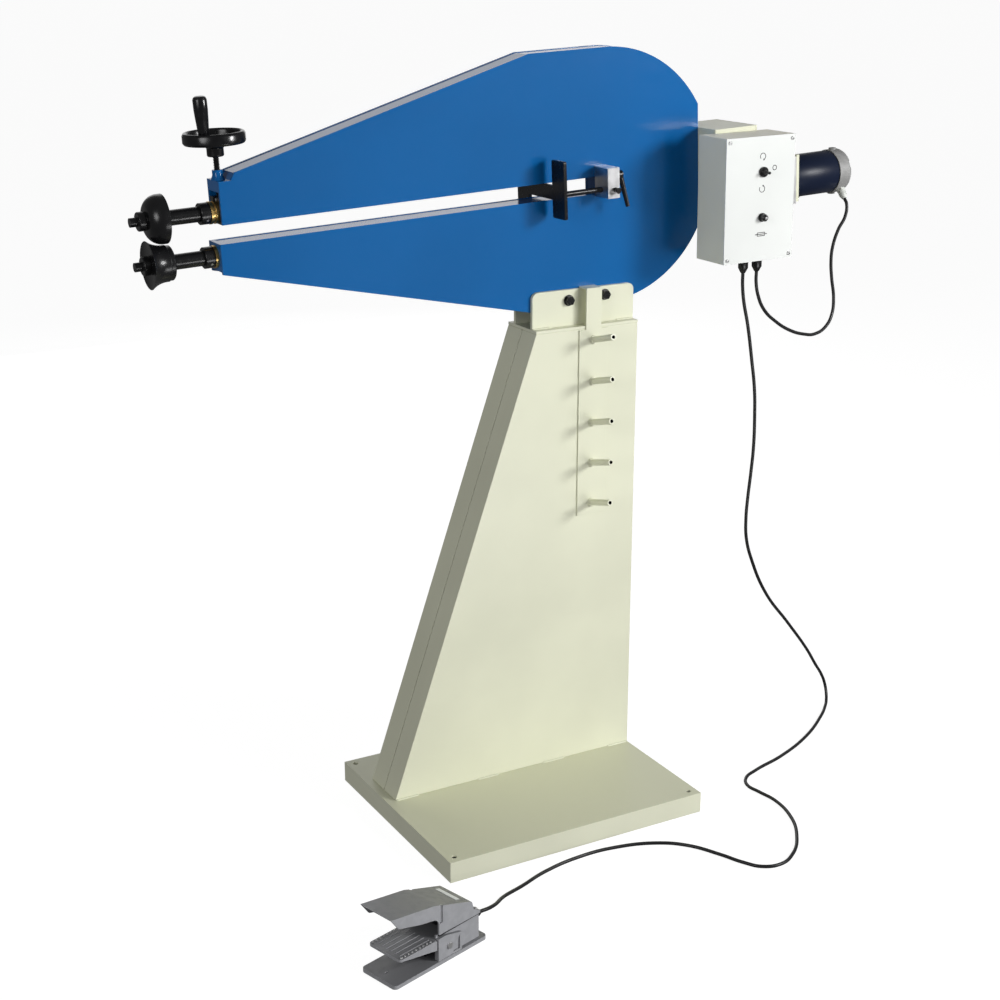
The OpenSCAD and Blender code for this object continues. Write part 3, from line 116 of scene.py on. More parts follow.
class Finish:
    """A material made of nodes, and the record's slot that it belongs to."""

    def __init__(self, name, slot, **constants):
        self.slot = slot
        self.material = bpy.data.materials.new(name)
        self.material.use_nodes = True
        self.tree = self.material.node_tree
        self.shader = self.tree.nodes["Principled BSDF"]
        for socket, value in constants.items():
            self.shader.inputs[socket.replace("_", " ")].default_value = value
        self.place = self.node("ShaderNodeTexCoord", out="Object")

    def node(self, kind, settings=None, inputs=None, out=0):
        """Adds a node, sets it up, feeds its sockets and gives one of its outputs."""
        made = self.tree.nodes.new(kind)
        for name, value in (settings or {}).items():
            setattr(made, name, value)
        for name, value in (inputs or {}).items():
            self.feed(made.inputs[name], value)
        return Tone(self, made.outputs[out])

    def feed(self, socket, value):
        """Links a tone to a socket, or sets the socket to a constant."""
        if isinstance(value, Tone):
            self.tree.links.new(value.socket, socket)
        else:
            socket.default_value = value

    def shade(self, socket, value):
        self.feed(self.shader.inputs[socket], value)

    def turned(self, along, stretch):
        """Object coordinates with X turned to a direction in the XZ plane, then stretched."""
        angle = math.atan2(along[2], along[0])
        return self.node(
            "ShaderNodeMapping",
            {"vector_type": "TEXTURE"},
            {"Vector": self.place, "Rotation": (0, -angle, 0), "Scale": [1 / s for s in stretch]},
        )

    def noise(self, scale, detail=2.0, place=None):
        """Noise with about scale spots to the metre."""
        inputs = {"Vector": place or self.place, "Scale": scale, "Detail": detail}
        return self.node("ShaderNodeTexNoise", None, inputs)

    def mixed(self, factor, first, second):
        """A colour between two colours."""
        inputs = {0: factor, 6: first, 7: second}
        return self.node("ShaderNodeMix", {"data_type": "RGBA"}, inputs, out=2)

    def edges(self, radius):
        """Above 0 along outer and inner edges, 0 on flat faces."""
        rounded = self.node("ShaderNodeBevel", {"samples": 4}, {"Radius": radius})
        flat = self.node("ShaderNodeNewGeometry", out="Normal")
        settings = {"operation": "DOT_PRODUCT"}
        return 1 - self.node("ShaderNodeVectorMath", settings, {0: rounded, 1: flat}, out="Value")

    def upward(self):
        """1 on faces that look up, 0 on upright ones."""
        normal = self.node("ShaderNodeNewGeometry", out="Normal")
        return self.node("ShaderNodeSeparateXYZ", None, {"Vector": normal}, out="Z").between(0.2, 0.75)

    def bump(self, height, distance):
        """Relief of a given depth in metres."""
        inputs = {"Height": height, "Distance": distance, "Strength": 1.0}
        self.shade("Normal", self.node("ShaderNodeBump", None, inputs))


def rgba(colour, gain=1.0):
    """An opaque colour, darker or lighter by a gain."""
    return [channel * gain for channel in colour] + [1]


# Colours of the paints, of what shows through them, of the painted shade on the cream's upward faces, and of the
# painted highlight along the casting's edges
CREAM = (0.78, 0.79, 0.62)
# Painted shade: the darker cream that upward cream faces take
SHADED_TOP_CREAM = (0.63, 0.64, 0.47)
BLUE = (0.003, 0.12, 0.375)
PRIMER = (0.3, 0.3, 0.28)
BARE = (0.45, 0.45, 0.46)
RUBBED_BLACK = (0.05, 0.05, 0.052)
# Painted highlight along the casting's edges
EDGE_HIGHLIGHT = (0.62, 0.63, 0.65)
# Share of its colour that an upward face of the casting keeps under painted shade
TOP_SHADE_SHARE = 0.45
# Width of the rubbed edges of paint and of bare metal, and the depth of a tool's lines
PAINT_EDGE = 1.6 * MM
METAL_EDGE = 1.2 * MM
LINE_DEPTH = 0.06 * MM
# Tool lines of steel to the metre, along the shafts and across them
STEEL_LINES = (2600, 60, 60)


def paint(name, slot, colour, rough, peel, top_shade=None, **constants):
    """Sprayed paint: orange peel, drifts of tone, edges rubbed to the primer, and painted shade on its upward
    faces when a darker colour is given.
    """
    coat = Finish(name, slot, **constants)
    drift = coat.noise(3.5, 3).between(0.3, 0.7)
    body = coat.mixed(drift, rgba(colour, 0.96), rgba(colour, 1.04))
    # Painted shade: upward faces blend to the darker colour
    if top_shade:
        body = coat.mixed(coat.upward(), body, rgba(top_shade))
    rubbed = coat.edges(PAINT_EDGE).between(0.08, 0.5) * coat.noise(160, 4).between(0.5, 0.62)
    coat.shade("Base Color", coat.mixed(rubbed * 0.55, body, rgba(PRIMER)))
    coat.shade("Roughness", coat.noise(45, 3) * 0.1 + (rough - 0.05))
    coat.bump(coat.noise(420, 2) + coat.noise(38, 1) * 2, peel)
    return coat


def worked_metal(name, slot, colour, rough, grain, under=BARE, **constants):
    """Turned or sawn metal: a tool's fine lines, smears, and bright rubbed edges."""
    metal = Finish(name, slot, **constants)
    lines = metal.noise(1, 3, metal.turned(drive["axis"], grain))
    smear = metal.noise(55, 4).between(0.35, 0.7)
    body = metal.mixed(smear, rgba(colour, 0.92), rgba(colour, 1.06))
    rubbed = metal.edges(METAL_EDGE).between(0.06, 0.5) * metal.noise(240, 3).between(0.42, 0.6)
    metal.shade("Base Color", metal.mixed(rubbed * 0.6, body, rgba(under)))
    metal.shade("Roughness", lines * 0.12 + smear * 0.05 + (rough - 0.08))
    metal.bump(lines, LINE_DEPTH)
    return metal


def cast_grain(skin, rough, grain, relief):
    """Gives a moulded or cast skin its gloss and grain, and returns its faint handling marks."""
    marks = skin.noise(70, 4).between(0.4, 0.7)
    skin.shade("Roughness", marks * 0.1 + (rough - 0.05))
    skin.bump(skin.noise(grain, 3) + skin.noise(grain / 6, 2) * 0.8, relief)
    return marks


def moulded(name, slot, colour, rough, grain, relief):
    """Moulded or cast skin with an even grain and faint handling marks."""
    skin = Finish(name, slot)
    marks = cast_grain(skin, rough, grain, relief)
    skin.shade("Base Color", skin.mixed(marks, rgba(colour, 0.93), rgba(colour, 1.07)))
    return skin


def top_shaded_casting(name, slot, colour, rough, grain, relief):
    """Painted casting, with painted shade darkening its upward faces and a painted highlight along its edges."""
    skin = Finish(name, slot)
    marks = cast_grain(skin, rough, grain, relief)
    clean = skin.mixed(marks, rgba(colour, 0.95), rgba(colour, 1.05))
    # Painted shade: upward faces darken to a share of the colour
    painted_top_shade = skin.mixed(skin.upward(), clean, rgba(colour, TOP_SHADE_SHARE))
    # Painted highlight: a lighter colour along the edges
    painted_edge_highlight = skin.edges(PAINT_EDGE).between(0.05, 0.4) * skin.noise(120, 3).between(0.3, 0.5)
    skin.shade("Base Color", skin.mixed(painted_edge_highlight * 0.6, painted_top_shade, rgba(EDGE_HIGHLIGHT)))
    return skin


FINISHES = {
    finish.slot: finish
    for finish in (
        # The cream's upward faces get painted shade
        paint("cream_semi_gloss", "cream_paint", CREAM, 0.34, 0.05 * MM, top_shade=SHADED_TOP_CREAM),
        paint("blue_gloss_enamel", "blue_enamel", BLUE, 0.16, 0.05 * MM, Specular_IOR_Level=0.32),
        worked_metal(
            "blackened_steel", "black_steel", (0.007, 0.007, 0.008), 0.26, STEEL_LINES, RUBBED_BLACK,
            Specular_IOR_Level=0.5,
        ),
        worked_metal("turned_bronze", "bronze", (0.72, 0.48, 0.17), 0.3, (3000, 40, 40), Metallic=1),
        worked_metal("machined_steel", "plain_steel", (0.6, 0.6, 0.6), 0.36, STEEL_LINES, Metallic=0.7),
        moulded("gloss_phenolic", "black_phenolic", (0.005, 0.005, 0.006), 0.24, 900, 0.012 * MM),
        paint("motor_navy", "navy_paint", (0.006, 0.011, 0.03), 0.36, 0.05 * MM, Specular_IOR_Level=0.25),
        moulded("silver_casting", "cast_aluminium", (0.3, 0.3, 0.296), 0.5, 700, 0.08 * MM),
        moulded("pale_nylon", "pale_plastic", (0.66, 0.68, 0.64), 0.45, 900, 0.03 * MM),
        paint("box_grey", "grey_paint", (0.92, 0.905, 0.75), 0.42, 0.06 * MM),
        paint("panel_white", "white_panel", (0.78, 0.8, 0.78), 0.4, 0.02 * MM),
        moulded("black_nylon", "black_plastic", (0.008, 0.008, 0.009), 0.36, 900, 0.04 * MM),
        worked_metal(
            "sawn_aluminium", "bright_aluminium", (0.72, 0.72, 0.73), 0.34, (60, 60, 2400), Metallic=1,
        ),
        # The pedal's casting: painted shade on its upward faces, a painted highlight along its edges
        top_shaded_casting("grey_casting_paint", "grey_casting", (0.37, 0.375, 0.395), 0.4, 420, 0.12 * MM),
        moulded("cord_sheath", "black_cord", (0.012, 0.012, 0.013), 0.42, 1500, 0.02 * MM),
    )
}

# Width of the rounding along the edges of each CAD node, in millimetres
ROUNDING = {
    "base_tray": 2.0, "column_near_shell": 1.6, "column_far_shell": 1.6, "head_saddle": 1.0, "die_rack": 0.5,
    "frame_plate_near": 0.9, "frame_plate_far": 0.9, "upper_rim_strip": 0.6, "lower_rim_strip": 0.6,
    "throat_liner": 0.6, "rear_end_plate": 0.8, "lower_nose_plate": 0.6, "screw_boss": 0.8,
    "gear_case": 1.6, "gear_case_cover": 1.0, "gear_reducer": 1.0, "motor_mount_plate": 0.8,
    "motor_body": 0.6, "motor_end_bell": 0.8, "motor_gland": 0.5, "control_box": 1.6, "control_panel": 0.8,
    "gauge_block": 0.7, "gauge_fence": 0.9, "pedal_base": 1.4, "pedal_hood": 1.2, "pedal_treadle": 0.6,
    "handwheel": 0.8, "handwheel_grip": 0.8,
}
SMALL_ROUNDING = 0.4
# Points nearer than this are one point, in metres
JOIN_WITHIN = 0.002 * MM
# Faces that meet at less than the first angle are one face, edges past the second are
# shaded sharp, and edges past the third are rounded
FLAT_ANGLE = math.radians(0.4)
SHARP_ANGLE = math.radians(28)
ROUNDED_ANGLE = math.radians(32)


def shell_cleaner():
    """A modifier's node group: joins a node's loose triangles and smooths all but its sharp edges."""
    group = bpy.data.node_groups.new("joined_shell", "GeometryNodeTree")
    group.interface.new_socket("Geometry", in_out="INPUT", socket_type="NodeSocketGeometry")
    group.interface.new_socket("Geometry", in_out="OUTPUT", socket_type="NodeSocketGeometry")
    source = group.nodes.new("NodeGroupInput")
    joined = group.nodes.new("GeometryNodeMergeByDistance")
    joined.inputs["Distance"].default_value = JOIN_WITHIN
    plain = group.nodes.new("GeometryNodeRemoveAttribute")
    plain.inputs["Name"].default_value = "custom_normal"
    smooth = group.nodes.new("GeometryNodeSetShadeSmooth")
    smooth.domain = "FACE"
    angle = group.nodes.new("GeometryNodeInputMeshEdgeAngle")
    sharp = group.nodes.new("ShaderNodeMath")
    sharp.operation = "GREATER_THAN"
    sharp.inputs[1].default_value = SHARP_ANGLE
    crisp = group.nodes.new("GeometryNodeSetShadeSmooth")
    crisp.domain = "EDGE"
    crisp.inputs["Shade Smooth"].default_value = False
    result = group.nodes.new("NodeGroupOutput")
    group.links.new(source.outputs[0], joined.inputs["Geometry"])
    group.links.new(joined.outputs["Geometry"], plain.inputs["Geometry"])
    group.links.new(plain.outputs["Geometry"], smooth.inputs["Geometry"])
    group.links.new(smooth.outputs["Geometry"], crisp.inputs["Geometry"])
    group.links.new(angle.outputs["Unsigned Angle"], sharp.inputs[0])
    group.links.new(sharp.outputs[0], crisp.inputs["Selection"])
    group.links.new(crisp.outputs["Geometry"], result.inputs[0])
    return group


def dress_nodes():
    """Gives each CAD node its finish, joins its triangles and rounds its edges."""
    cleaner = shell_cleaner()
    for part in frame["record"]["subparts"]:
        node = NODES[part["node"]]
        node.data.materials.clear()
        node.data.materials.append(FINISHES[part["material_slot"]].material)
        clean = node.modifiers.new("joined", "NODES")
        clean.node_group = cleaner
        flat = node.modifiers.new("whole_faces", "DECIMATE")
        flat.decimate_type = "DISSOLVE"
        flat.angle_limit = FLAT_ANGLE
        rounding = node.modifiers.new("rounded_edges", "BEVEL")
        rounding.width = ROUNDING.get(part["node"], SMALL_ROUNDING) * MM
        rounding.segments = 2
        rounding.limit_method = "ANGLE"
        rounding.angle_limit = ROUNDED_ANGLE
        rounding.harden_normals = True


def finished(name, bm, slot, body, place, smooth_angle=35):
    """Makes a piece of a bmesh built in one of the frames, and lets it ride on a body."""
    bm.transform(place)
    bmesh.ops.remove_doubles(bm, verts=bm.verts, dist=JOIN_WITHIN)
    bmesh.ops.recalc_face_normals(bm, faces=bm.faces)
    mesh = bpy.data.meshes.new(name)
    bm.to_mesh(mesh)
    bm.free()
    mesh.shade_smooth()
    mesh.set_sharp_from_angle(angle=math.radians(smooth_angle))
    mesh.materials.append(FINISHES[slot].material)
    piece = bpy.data.objects.new(name, mesh)
    bpy.context.scene.collection.objects.link(piece)
    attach(piece, body)
    return piece


def span(node, place=FLOOR):
    """Lowest and highest corner of a CAD node, in the millimetres of a frame."""
    inverse = place.inverted() @ NODES[node].matrix_world
    spots = [inverse @ vert.co for vert in NODES[node].data.vertices]
    return [Vector([pick(spot[k] for spot in spots) for k in range(3)]) for pick in (min, max)]


def placed(x, y, z, up=(0, 0, 1)):
    """A place in a frame whose own Z axis points along up."""
    turn = Vector(up).to_track_quat("Z", "Y").to_matrix().to_4x4()
    return Matrix.Translation((x, y, z)) @ turn


def put(bm, part, place):
    """Moves a part's faces into a bmesh at a place."""
    part.transform(place)
    mesh = bpy.data.meshes.new("part")
    part.to_mesh(mesh)
    part.free()
    bm.from_mesh(mesh)
    bpy.data.meshes.remove(mesh)


def only(kind, geom):
    """The vertices, or the edges, among what an operator made."""
    return [item for item in geom if isinstance(item, kind)]


def loop_edges(ring):
    """The edges that join a ring's vertices."""
    linked = {edge for vert in ring for edge in vert.link_edges}
    return [edge for edge in linked if all(vert in ring for vert in edge.verts)]


def block(x, y, z):
    """A part in the form of a block about its own middle."""
    part = bmesh.new()
    bmesh.ops.create_cube(part, size=1, matrix=Matrix.Diagonal((x, y, z, 1)))
    return part


def spun(bm, profile, steps, turns=1, pitch=0.0):
    """Spins (radius, height) points about Z, as a closed body or a helix with a pitch."""
    corners = [bm.verts.new((r, 0, h)) for r, h in profile]
    sides = [bm.edges.new(pair) for pair in zip(corners, corners[1:])]
    bmesh.ops.spin(
        bm, geom=corners + sides, cent=(0, 0, 0), axis=(0, 0, 1), dvec=(0, 0, pitch / steps),
        angle=TURN * turns, steps=steps * turns, use_merge=pitch == 0,
    )


def turned_part(profile, steps):
    """A part spun once about Z from (radius, height) points, and joined at its axis."""
    part = bmesh.new()
    spun(part, profile, steps)
    bmesh.ops.remove_doubles(part, verts=part.verts, dist=0.001)
    return part


def turned_body(bm, profile, place, steps=32):
    """Adds a turned part at its place."""
    put(bm, turned_part(profile, steps), place)


# A pan head's outline and its cross recess, as shares of its radius and height
PAN_OUTLINE = ((0, 1), (0.3, 1), (0.66, 0.94), (0.9, 0.7), (1, 0.3), (1, 0))
RECESS_REACH = 0.66
RECESS_ARM = 0.14
RECESS_DEPTH = 0.55
# A socket head's chamfer and its hexagon's depth, as shares of the same
SOCKET_OUTLINE = ((1, 0), (1, 0.85), (0.9, 1))
SOCKET_DEPTH = 0.6
HEAD_STEPS = 24


def cross_head(bm, place, r, h):
    """A pan-head screw with a cross recess."""
    head = turned_part([(x * r, z * h) for x, z in PAN_OUTLINE], HEAD_STEPS)
    arm = RECESS_ARM * r
    for normal in ((1, 0, 0), (0, 1, 0)):
        for side in (-arm, arm):
            everything = head.verts[:] + head.edges[:] + head.faces[:]
            spot = Vector(normal) * side
            bmesh.ops.bisect_plane(head, geom=everything, dist=1e-5, plane_co=spot, plane_no=normal)
    recess = []
    for face in head.faces:
        middle = face.calc_center_median()
        if middle.xy.length < RECESS_REACH * r and min(abs(middle.x), abs(middle.y)) < arm:
            recess.append(face)
    sunk = bmesh.ops.extrude_face_region(head, geom=recess)["geom"]
    bmesh.ops.delete(head, geom=recess, context="FACES_ONLY")
    bmesh.ops.translate(head, vec=(0, 0, -RECESS_DEPTH * h), verts=only(bmesh.types.BMVert, sunk))
    put(bm, head, place)


def socket_head(bm, place, r, h, key):
    """A socket screw: a round head with a hexagon recess."""
    head = turned_part([(x * r, z * h) for x, z in SOCKET_OUTLINE], HEAD_STEPS)
    rim = [edge for edge in head.edges if edge.is_boundary and edge.verts[0].co.z > h / 2]
    hexagon = bmesh.ops.create_circle(head, segments=6, radius=key, matrix=Matrix.Translation((0, 0, h)))
    mouth = loop_edges(hexagon["verts"])
    bmesh.ops.bridge_loops(head, edges=rim + mouth)
    sunk = bmesh.ops.extrude_edge_only(head, edges=mouth)["geom"]
    bmesh.ops.translate(head, vec=(0, 0, -SOCKET_DEPTH * h), verts=only(bmesh.types.BMVert, sunk))
    bmesh.ops.holes_fill(head, edges=only(bmesh.types.BMEdge, sunk), sides=6)
    put(bm, head, place)


# The adjusting screw, in millimetres: its thread, and the narrow tip in the thrust pad
THREAD_PITCH = 3
THREAD_DEPTH = 1.5
THREAD_STEPS = 28
THREAD_BELOW_BOSS = 12
THREAD_IN_HUB = 2
TIP_STEP = 2
TIP_LEN = 3


def add_screw():
    """The adjusting screw with its thread, from the thrust pad up into the handwheel's hub."""
    low, high = span("adjusting_screw", SHAFT)
    crest = (high.y - low.y) / 2
    root = crest - THREAD_DEPTH
    tip = crest - TIP_STEP
    neck = low.z + TIP_LEN
    start = span("screw_boss", SHAFT)[0].z - THREAD_BELOW_BOSS
    end = span("handwheel", SHAFT)[0].z + THREAD_IN_HUB
    place = Matrix.Translation(((low.x + high.x) / 2, 0, 0))
    bm = bmesh.new()
    outline = [(0, low.z), (tip, low.z), (tip, neck), (crest, neck), (crest, start)]
    outline += [(root, start), (root, end), (crest, end), (crest, high.z), (0, high.z)]
    turned_body(bm, outline, place)
    thread = bmesh.new()
    tooth = [(root, 0), (crest, 0.38), (crest, 0.62), (root, 1)]
    profile = [(r, start + share * THREAD_PITCH) for r, share in tooth]
    turns = int((end - start) / THREAD_PITCH) - 1
    spun(thread, profile, THREAD_STEPS, turns, THREAD_PITCH)
    put(bm, thread, place)
    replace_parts(finished("threaded_screw", bm, "black_steel", "screw_wheel", SHAFT), "adjusting_screw")


# The return spring's coil and wire, in millimetres
SPRING_TURNS = 6
SPRING_STEPS = 24
SPRING_R = 7
WIRE_R = 0.9
WIRE_SIDES = 10


def add_spring():
    """The pedal's return spring, made at one length; the real one shortens under the treadle."""
    low, high = span("pedal_spring")
    middle = (low + high) / 2
    rise = high.z - low.z - 2 * WIRE_R
    bm = bmesh.new()
    start = Matrix.Translation((SPRING_R, 0, low.z + WIRE_R)) @ Matrix.Rotation(TURN / 4, 4, "X")
    ring = bmesh.ops.create_circle(bm, segments=WIRE_SIDES, radius=WIRE_R, matrix=start)["verts"]
    bmesh.ops.spin(
        bm, geom=ring + loop_edges(ring), cent=(0, 0, 0), axis=(0, 0, 1),
        dvec=(0, 0, rise / SPRING_TURNS / SPRING_STEPS), angle=TURN * SPRING_TURNS,
        steps=SPRING_STEPS * SPRING_TURNS,
    )
    bmesh.ops.holes_fill(bm, edges=[edge for edge in bm.edges if edge.is_boundary], sides=WIRE_SIDES)
    place = FLOOR @ Matrix.Translation((middle.x, middle.y, 0))
    spring = finished("return_spring", bm, "plain_steel", "stand", place)
    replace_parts(spring, "pedal_spring")
    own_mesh(spring)


def rack_pegs():
    """Middle, axis and half length of each peg of the rack, in millimetres."""
    for mount in frame["record"]["mounts"]:
        if mount["name"].startswith("rack_peg"):
            yield Vector(mount["pos_m"]) / MM, Vector(mount["axis"]), mount["dims"]["length_mm"] / 2


# Weld beads, in millimetres: the step of their ripples, the swelling, and the size of their ends
BEAD_STEP = 2.4
BEAD_SIDES = 8
BEAD_RIPPLE = 0.16
BEAD_END = 0.55
# Stitches along the column's foot, from its toe
STITCHES = ((2, 57), (207, 262), (379, 437), (557, 612))
STITCH_R = 3
# Beads under the saddle's cheeks: on its top plate, beside the shafts, in from the ends
SADDLE_PLATE = 6
CHEEK_OUT = 40
CHEEK_INSET = 2
CHEEK_LEN = 45
CHEEK_BEAD_R = 2.6
# Beads round the pegs' roots
PEG_ROOT_D = 18
PEG_ROOT_LEN = 5
PEG_BEAD_R = 1.5
PEG_BEAD_STEPS = 28


def bead(bm, points, r):
    """A weld bead: a ring drawn along the points, swelling at every other one."""
    last = len(points) - 1
    ring = bmesh.ops.create_circle(bm, cap_ends=True, segments=BEAD_SIDES, radius=1)["verts"]
    shape = [vert.co.copy() for vert in ring]
    for k, point in enumerate(points):
        ahead = points[min(k + 1, last)] - points[max(k - 1, 0)]
        turn = placed(*point, ahead)
        if k:
            drawn = bmesh.ops.extrude_edge_only(bm, edges=loop_edges(ring))["geom"]
            follow = {}
            for vert in only(bmesh.types.BMVert, drawn):
                near = min(range(BEAD_SIDES), key=lambda i: (vert.co - ring[i].co).length)
                follow[near] = vert
            ring = [follow[i] for i in range(BEAD_SIDES)]
        swell = BEAD_RIPPLE if k % 2 else -BEAD_RIPPLE
        size = r * (BEAD_END if k in (0, last) else 1 + swell)
        for vert, spot in zip(ring, shape):
            vert.co = turn @ (spot * size)
    bmesh.ops.holes_fill(bm, edges=loop_edges(ring), sides=BEAD_SIDES)


def straight_bead(bm, start, length, r):
    """A weld bead along X from its start."""
    start = Vector(start)
    end = start + Vector((length, 0, 0))
    count = max(2, round(length / BEAD_STEP))
    bead(bm, [start.lerp(end, k / count) for k in range(count + 1)], r)


def add_welds():
    """Painted weld beads at the column's foot, the saddle's cheeks and the pegs' roots."""
    bm = bmesh.new()
    toe, near_top = span("column_near_shell")
    far = span("column_far_shell")[1].y
    tray_top = span("base_tray")[1].z
    for y in (toe.y, far):
        for start, end in STITCHES:
            straight_bead(bm, (toe.x + start, y, tray_top), end - start, STITCH_R)
    low, high = span("head_saddle")
    shaft_y = drive["pos_m"][1] / MM
    for y in (shaft_y - CHEEK_OUT, shaft_y + CHEEK_OUT):
        for x in (low.x + CHEEK_INSET, high.x - CHEEK_LEN):
            straight_bead(bm, (x, y, near_top.z + SADDLE_PLATE), CHEEK_LEN, CHEEK_BEAD_R)
    r = PEG_ROOT_D / 2
    for middle, axis, half in rack_pegs():
        root = middle - axis * (half + PEG_ROOT_LEN)
        ring = []
        for k in range(PEG_BEAD_STEPS + 1):
            angle = TURN * k / PEG_BEAD_STEPS
            ring.append(root + Vector((r * math.sin(angle), 0, r / -axis.y * math.cos(angle))))
        bead(bm, ring, PEG_BEAD_R)
    finished("weld_beads", bm, "cream_paint", "stand", FLOOR, 60)


# Depth of the rim strips and of their facings inside the plates' edges, in millimetres
RIM_INSET = 4
FACING_SINK = 1.2


def add_rim_facings():
    """Filled rims: facings on the rim strips, almost flush with the edges of the side plates."""
    low, high = span("frame_plate_near", SHAFT)
    middle = (low + high) / 2
    for node in ("upper_rim_strip", "lower_rim_strip"):
        bm = bmesh.new()
        bm.from_mesh(NODES[node].data)
        bm.transform(SHAFT.inverted() @ NODES[node].matrix_world)
        bmesh.ops.remove_doubles(bm, verts=bm.verts, dist=0.01)
        bm.normal_update()
        hidden = []
        for face in bm.faces:
            out = (face.calc_center_median() - middle) * Vector((1, 0, 1))
            flank = abs(face.normal.y) > 0.5
            nose_end = face.normal.x < -0.9
            if flank or nose_end or face.normal.dot(out) < 0:
                hidden.append(face)
        bmesh.ops.delete(bm, geom=hidden, context="FACES")
        bmesh.ops.solidify(bm, geom=bm.faces[:], thickness=FACING_SINK - RIM_INSET)
        finished(node.replace("strip", "facing"), bm, "blue_enamel", BODY_OF[node], SHAFT)


# The sleeve that lines a peg's bore, in millimetres
PEG_BORE_D = 8
SLEEVE_GAP = 0.05
SLEEVE_WALL = 0.4
SLEEVE_MOUTH = -1
SLEEVE_END = -45


def add_peg_bores():
    """Near-black linings of the pegs' bores: their bare metal, and painted shade of the deep bores."""
    outer = PEG_BORE_D / 2 - SLEEVE_GAP
    inner = outer - SLEEVE_WALL
    floor_top = SLEEVE_WALL + SLEEVE_END
    sleeve = [(outer, SLEEVE_MOUTH), (outer, SLEEVE_END), (0, SLEEVE_END), (0, floor_top)]
    sleeve += [(inner, floor_top), (inner, SLEEVE_MOUTH), (outer, SLEEVE_MOUTH)]
    bm = bmesh.new()
    for middle, axis, half in rack_pegs():
        # Painted shade and bare metal: a near-black lining in each bore
        turned_body(bm, sleeve, placed(*(middle + axis * half), axis))
    finished("peg_bores", bm, "black_steel", "stand", FLOOR)


# Where the set screws sit in the shaft collars: distance along the shaft, radius and direction,
# and their own radius, height and key
SET_SCREW_U = -634.5
SET_SCREW_R = 17
SET_SCREW_OUT = Vector((0, -0.819, -0.574))
SET_SCREW = (2.8, 3.3, 1.4)


def add_set_screws():
    """The set screws of the two shaft collars, which turn with the shafts."""
    for name in ("lower", "upper"):
        low, high = span(name + "_collar", SHAFT)
        spot = Vector((SET_SCREW_U, 0, (low.z + high.z) / 2)) + SET_SCREW_OUT * SET_SCREW_R
        bm = bmesh.new()
        socket_head(bm, placed(*spot, SET_SCREW_OUT), *SET_SCREW)
        finished(name + "_set_screw", bm, "plain_steel", name + "_spindle", SHAFT)


# Printed marks on the panel, in millimetres from the toggle: thickness and width of the ink
INK = 0.2
INK_LINE = 1.5
# Turning arrows: height, start and end angle
ARROWS = ((33, 215, -60), (-36, 145, 420))
ARROW_X = -2
ARROW_R = 7
ARROW_WING = 2.4
ARROW_LEN = 4
ARC_STEPS = 24
# A ring for off
OFF_AT = (30, 7)
OFF_R = 5
# A fuse's sign below its cap: left and right, bottom and top, and the length of its leads
FUSE_X = (-11, 9)
FUSE_DROP = (-40, -33)
FUSE_LEAD = 6


def ribbon(bm, points):
    """A printed line through (x, z) points of the panel."""
    last = len(points) - 1
    rungs = []
    for k, point in enumerate(points):
        ahead = points[min(k + 1, last)] - points[max(k - 1, 0)]
        side = ahead.orthogonal().normalized() * INK_LINE / 2
        rungs.append([bm.verts.new((spot.x, 0, spot.y)) for spot in (point - side, point + side)])
    for (a, b), (c, d) in zip(rungs, rungs[1:]):
        bmesh.ops.contextual_create(bm, geom=[a, b, d, c])


def arc(centre, r, start, end):
    """Points on a circle of the panel, between two angles in degrees."""
    angles = [math.radians(start + (end - start) * k / ARC_STEPS) for k in range(ARC_STEPS + 1)]
    return [Vector(centre) + Vector((r * math.cos(a), r * math.sin(a))) for a in angles]


def add_panel_marks():
    """Plain pictograms on the panel: run both ways, off and fuse."""
    bm = bmesh.new()
    for height, start, end in ARROWS:
        turn = arc((ARROW_X, height), ARROW_R, start, end)
        ribbon(bm, turn)
        tip = turn[-1]
        ahead = (tip - turn[-2]).normalized()
        wing = ahead.orthogonal() * ARROW_WING
        corners = [tip - wing, tip + wing, tip + ahead * ARROW_LEN]
        bmesh.ops.contextual_create(bm, geom=[bm.verts.new((c.x, 0, c.y)) for c in corners])
    ribbon(bm, arc(OFF_AT, OFF_R, 0, 360))
    fuse_z = (Vector(JOINTS["fuse_cap_turn"]["pos_m"]) - Vector(toggle["pos_m"])).z / MM
    low, high = (fuse_z + drop for drop in FUSE_DROP)
    left, right = FUSE_X
    middle = (low + high) / 2
    lines = [((left, z), (right, z)) for z in (low, high)]
    lines += [((x, low), (x, high)) for x in (left, right)]
    lines.append(((left - FUSE_LEAD, middle), (right + FUSE_LEAD, middle)))
    for line in lines:
        ribbon(bm, [Vector(end) for end in line])
    raised = bmesh.ops.extrude_face_region(bm, geom=bm.faces[:])["geom"]
    bmesh.ops.translate(bm, vec=(0, -INK, 0), verts=only(bmesh.types.BMVert, raised))
    finished("panel_marks", bm, "black_plastic", "stand", PANEL)


# Radius and height of the panel's screws, their inset, and the outline and sink of the fuse's tip
PANEL_SCREW = (4.2, 2.8)
PANEL_INSET = 9
FUSE_DOME = [(0, 1.6), (1.6, 1.3), (2.8, 0.6), (3.2, -1.2), (0, -1.2)]
FUSE_DOME_SINK = 0.4


def add_panel_screws():
    """The four screws of the control panel."""
    low, high = span("control_panel", PANEL)
    bm = bmesh.new()
    for x in (low.x + PANEL_INSET, high.x - PANEL_INSET):
        for z in (low.z + PANEL_INSET, high.z - PANEL_INSET):
            cross_head(bm, placed(x, low.y, z, TO_OPERATOR), *PANEL_SCREW)
    finished("panel_screws", bm, "plain_steel", "stand", PANEL)


